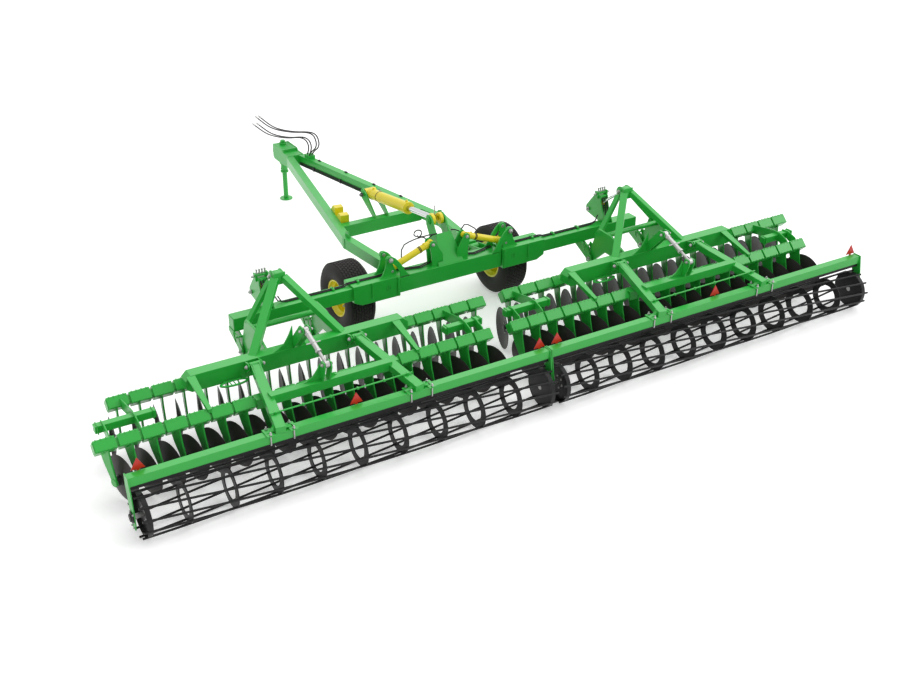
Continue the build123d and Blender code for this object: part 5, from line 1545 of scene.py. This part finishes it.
@dataclass
class Tower(UnitPart):
    """Three-point tower of one unit: legs that meet at the apex, posts, lugs and lower plates."""

    lug: Outline = (
        (1.860, 1.410), (1.990, 1.400), (2.014, 1.440), (2.022, 1.472),
        (2.010, 1.510), (1.985, 1.535), (1.945, 1.545), (1.860, 1.535),
    )
    low_plate: Outline = (
        (1.320, 0.780), (1.320, 0.935), (1.600, 1.052), (1.860, 1.060), (1.900, 1.010), (2.025, 0.650),
        (2.038, 0.600), (2.020, 0.560), (1.985, 0.543), (1.950, 0.552), (1.700, 0.780),
    )

    def build(self) -> None:
        """Add the tower and its apex pin."""
        x, y = self.centre, ROLLER_Y
        tower, pin = Shape(), Shape()
        wide = LOWER_PIN_X[1]
        for out in (-1, 1):
            foot = (x - 0.080 + out * 0.560, y + 1.245, 0.900)
            tower.bar((x + out * 0.052, y + 1.872, 1.468), foot, 0.095, 0.070)
            tower.bar((x + out * 0.088, y + 1.945, 1.425), (x + out * wide, y + 1.840, 1.010), 0.062, 0.052)
            tower.fin(self.lug, x + out * 0.056, 0.016)
            tower.fin(self.low_plate, x + out * wide, 0.030)
        tower.rod((x - wide, y + 1.740, 1.000), (x + wide, y + 1.740, 1.000), 0.035, 28)
        replaced = f"tower_{self.side}"
        tower.make(f"tower_frame_{self.side}", Slot.GREEN, self.wing, Shading.BY_ANGLE, 0.004, replaced)
        ahead, z = y + APEX_PIN[0], APEX_PIN[1]
        pin.rod((x - 0.071, ahead, z), (x + 0.071, ahead, z), 0.020, 24)
        pin.make(f"apex_pin_{self.side}", Slot.STEEL, self.wing, Shading.BY_ANGLE)


@dataclass
class WingBeam(UnitPart):
    """Beam of one wing, with the fold sleeve, its slim ears and the three-point brackets."""

    front: float = ROLLER_Y + 2.370
    rear: float = ROLLER_Y + 2.205
    low: float = 0.746
    root: float = 0.790
    end: float = 2.965
    sleeve: Outline = ((0.762, 0.667), (1.300, 0.667), (1.410, 0.722), (1.410, 0.935), (0.762, 0.935))
    ear: Outline = (
        (0.790, 0.930), (1.030, 0.930), (0.985, 0.965), (0.948, 1.040), (0.926, 1.110), (0.927, 1.180),
        (0.912, 1.206), (0.880, 1.216), (0.850, 1.206), (0.834, 1.180), (0.832, 1.090), (0.812, 1.030),
        (0.790, 0.990),
    )
    lower_lug: Outline = (
        (2.210, 0.756), (2.365, 0.756), (2.365, 0.706), (2.030, 0.546),
        (1.990, 0.538), (1.952, 0.556), (1.944, 0.600), (1.960, 0.638),
    )
    link_plate: Outline = (
        (2.212, 0.905), (2.300, 1.080), (2.338, 1.180), (2.348, 1.262), (2.470, 1.268),
        (2.545, 1.180), (2.655, 1.045), (2.664, 1.000), (2.650, 0.955), (2.368, 0.905),
    )

    def build(self) -> None:
        """Add the beam with all that is welded to it, and its pins."""
        sign, unit = self.sign, self.centre
        beam, pins = Shape(), Shape()
        beam.brick((sign * self.root, self.rear, self.low), (sign * self.end, self.front, BEAM_TOP))
        cap = (sign * (self.end + 0.006), self.front - 0.006, BEAM_TOP - 0.006)
        beam.brick((sign * self.end, self.rear + 0.006, self.low + 0.006), cap)
        beam.wall(self.sleeve, sign, BEAM_Y, 0.268)
        for y in (-0.074, 0.074):
            beam.wall(self.ear, sign, BEAM_Y + y, 0.020)
        for pin in LOWER_PIN_X:
            for out in (-0.029, 0.029):
                beam.fin(self.lower_lug, unit + pin + out, 0.016)
            self._pin(pins, unit + pin, 0.049, LOWER_PIN, 0.0178, 20)
        for out in (-0.056, 0.056):
            beam.fin(self.link_plate, unit + out, 0.016)
        self._pin(pins, unit, 0.071, LINK_PIN, 0.020, 24)
        x, z = sign * FOLD_EYE[0], FOLD_EYE[1]
        pins.rod((x, BEAM_Y - 0.088, z), (x, BEAM_Y + 0.088, z), 0.0175, 20)
        replaced = f"wing_beam_{self.side}"
        beam.make(f"wing_box_{self.side}", Slot.GREEN, self.wing, Shading.BY_ANGLE, 0.005, replaced)
        pins.make(f"wing_pins_{self.side}", Slot.STEEL, self.wing, Shading.BY_ANGLE)

    def _pin(self, pins: Shape, x: float, reach: float, spot: Pair, radius: float, steps: int) -> None:
        """Add a pin across the unit.

        Args:
            pins: What it is added to.
            x: Its middle.
            reach: Half of its length.
            spot: Its (ahead, height) place.
            radius: Its radius.
            steps: Number of sides.
        """
        y, z = ROLLER_Y + spot[0], spot[1]
        pins.rod((x - reach, y, z), (x + reach, y, z), radius, steps)


@dataclass
class CentreBox:
    """Centre beam with the slim fold horns and the drawbar's lugs, and the lift tower on it."""

    half: float = 0.750
    rear: float = ROLLER_Y + 2.205
    front: float = ROLLER_Y + 2.425
    low: float = 0.691
    lug_x: float = 0.096
    horn: Outline = (
        (0.600, 0.893), (0.7485, 0.893), (0.7485, 0.965), (0.785, 1.050), (0.845, 1.112), (0.905, 1.130),
        (0.926, 1.160), (0.922, 1.200), (0.895, 1.216), (0.860, 1.212), (0.800, 1.170), (0.735, 1.090),
        (0.680, 0.990),
    )
    lug: Outline = (
        (2.415, 0.691), (2.415, 0.911), (2.700, 0.858), (2.742, 0.842),
        (2.760, 0.800), (2.742, 0.758), (2.700, 0.742),
    )
    cheek: Outline = (
        (2.225, 0.905), (2.425, 0.905), (2.665, 1.310), (2.676, 1.385),
        (2.655, 1.440), (2.600, 1.461), (2.548, 1.440), (2.515, 1.400),
    )
    anchor: Outline = (
        (0.106, 0.905), (0.262, 0.905), (0.270, 1.060), (0.290, 1.170), (0.293, 1.230),
        (0.262, 1.260), (0.222, 1.255), (0.180, 1.180), (0.106, 1.060),
    )
    back: Outline = ((-0.186, -0.005), (0.186, -0.005), (0.108, 0.400), (-0.108, 0.400))

    def build(self) -> None:
        """Add the beam and the tower."""
        self._beam()
        self._tower()

    def _beam(self) -> None:
        """Add the beam with its horns and lugs."""
        beam, pins = Shape(), Shape()
        middle = (self.rear + self.front) / 2
        beam.brick((-self.half, self.rear, self.low), (self.half, self.front, BEAM_TOP))
        for sign in SIDES.values():
            for out in (-1, 1):
                beam.wall(self.horn, sign, middle + out * 0.100, 0.020)
                x, z = sign * FOLD_PIN[0], FOLD_PIN[1]
                pins.rod((x, middle + out * 0.058, z), (x, middle + out * 0.120, z), 0.0245, 28)
            for out in (-0.075, 0.075):
                beam.fin(self.lug, sign * DRAW_PIN_X + out, 0.020)
            x, y, z = sign * DRAW_PIN_X, ROLLER_Y + DRAW_PIN[0], DRAW_PIN[1]
            pins.rod((x - 0.095, y, z), (x + 0.095, y, z), 0.0245, 28)
        beam.make("centre_box", Slot.GREEN, "carrier", Shading.BY_ANGLE, 0.005, "centre_beam")
        pins.make("hinge_pins", Slot.STEEL, "carrier", Shading.BY_ANGLE)

    def _tower(self) -> None:
        """Add the lift tower, its rear plate and the fold cylinders' anchor plates."""
        tower = Shape()
        middle = (self.rear + self.front) / 2
        for sign in SIDES.values():
            tower.fin(self.cheek, sign * self.lug_x, 0.020)
            for out in (-0.061, 0.061):
                tower.wall(self.anchor, sign, middle + out, 0.020)
            x, z = sign * FOLD_BASE[0], FOLD_BASE[1]
            tower.rod((x, middle - 0.061, z), (x, middle + 0.061, z), 0.0178, 20)
        rise = Vector((0.0, 0.267, 0.494)).normalized()
        across = Vector((1.0, 0.0, 0.0))
        place = plane(across, rise, across.cross(rise), (0.0, self.rear + 0.024, BEAM_TOP))
        tower.slab(self.back, place, 0.020)
        tower.make("lift_tower_plates", Slot.GREEN, "carrier", Shading.BY_ANGLE, 0.004, "lift_tower")


@dataclass
class Studio:
    """Floor, lights and camera, with the camera where the photograph was taken from."""

    camera_at: Point = (-7.510, ROLLER_Y - 10.249, 7.727)
    yaw: float = 31.0
    pitch: float = 28.46
    lens: float = 50.46
    far: float = 400.0
    world: float = 0.62
    suns: tuple[tuple[float, float, Point], ...] = (
        (1.05, 65.0, (0.34, 0.41, 0.85)),
        (0.80, 36.0, (0.76, -0.34, 0.56)),
    )
    floor_half: float = 150.0
    floor_colour: tuple[float, float, float, float] = (0.93, 0.93, 0.93, 1.0)
    floor_lift: float = 0.36

    def build(self) -> None:
        """Add the floor, the lights and the camera."""
        scene = bpy.context.scene
        scene.view_settings.view_transform = "Standard"
        self._floor()
        world = bpy.data.worlds.new("Studio")
        scene.world = world
        world.use_nodes = True
        sky = world.node_tree.nodes["Background"]
        sky.inputs["Color"].default_value = (1.0, 1.0, 1.0, 1.0)
        seen = self._seen(world.node_tree)
        level = math_node(world.node_tree, "MULTIPLY_ADD", seen, 1.0 - self.world, self.world)
        world.node_tree.links.new(level, sky.inputs["Strength"])
        for energy, angle, direction in self.suns:
            lamp = bpy.data.lights.new("Softbox", "SUN")
            lamp.energy = energy
            lamp.angle = math.radians(angle)
            light = bpy.data.objects.new("Softbox", lamp)
            light.rotation_euler = Vector(direction).to_track_quat("Z", "Y").to_euler()
            scene.collection.objects.link(light)
        lens = bpy.data.cameras.new("Camera")
        lens.lens = self.lens
        lens.sensor_width = 36.0
        lens.clip_end = self.far
        camera = bpy.data.objects.new("Camera", lens)
        camera.location = self.camera_at
        camera.rotation_euler = (math.radians(90 - self.pitch), 0.0, -math.radians(self.yaw))
        scene.collection.objects.link(camera)
        scene.camera = camera

    def _seen(self, tree: bpy.types.NodeTree) -> bpy.types.NodeSocket:
        """Tell, as 1 or 0, whether the camera sees a point directly, mirrored or through glass.

        Args:
            tree: The node tree of the world or the floor.
        Returns:
            The socket with the answer.
        """
        ray = tree.nodes.new("ShaderNodeLightPath")
        seen = ray.outputs["Is Camera Ray"]
        for name in ("Is Glossy Ray", "Is Transmission Ray"):
            seen = math_node(tree, "MAXIMUM", seen, ray.outputs[name])
        return seen

    def _floor(self) -> None:
        """Add the pale floor, just below the wheels."""
        mesh = bpy.data.meshes.new("floor")
        wide, z = self.floor_half, -0.002
        mesh.from_pydata([(-wide, -wide, z), (wide, -wide, z), (wide, wide, z), (-wide, wide, z)], [], [(0, 1, 2, 3)])
        floor = bpy.data.objects.new("floor", mesh)
        bpy.context.scene.collection.objects.link(floor)
        material = bpy.data.materials.new("floor")
        material.use_nodes = True
        shader = material.node_tree.nodes["Principled BSDF"].inputs
        shader["Base Color"].default_value = self.floor_colour
        shader["Roughness"].default_value = 0.85
        shader["Specular IOR Level"].default_value = 0.1
        shader["Emission Color"].default_value = (1.0, 1.0, 1.0, 1.0)
        lift = math_node(material.node_tree, "MULTIPLY", self._seen(material.node_tree), self.floor_lift)
        material.node_tree.links.new(lift, shader["Emission Strength"])
        mesh.materials.append(material)


@dataclass
class Harrow:
    """The whole machine: all its sub-assemblies."""

    parts: list = field(default_factory=list)

    def build(self) -> None:
        """Build each sub-assembly in turn."""
        kinds = (DiscGang, CageRoller, RoadWheel, WingDetails, RollerFrameDetails)
        kinds += (RowTubes, DiscArms, UpperLink, Tower, WingBeam)
        self.parts += [kind(side) for side in SIDES for kind in kinds]
        self.parts += [CentreBox(), Carrier(), Drawbar()]
        for part in self.parts:
            LOG.info("building %s", type(part).__name__)
            part.build()


def main() -> None:
    """Load the frame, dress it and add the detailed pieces."""
    global PALETTE
    logging.basicConfig(level=logging.INFO)
    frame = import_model()
    PALETTE = Palette()
    PALETTE.dress_frame(frame)
    Harrow().build()
    Studio().build()


if __name__ == "__main__":
    main()
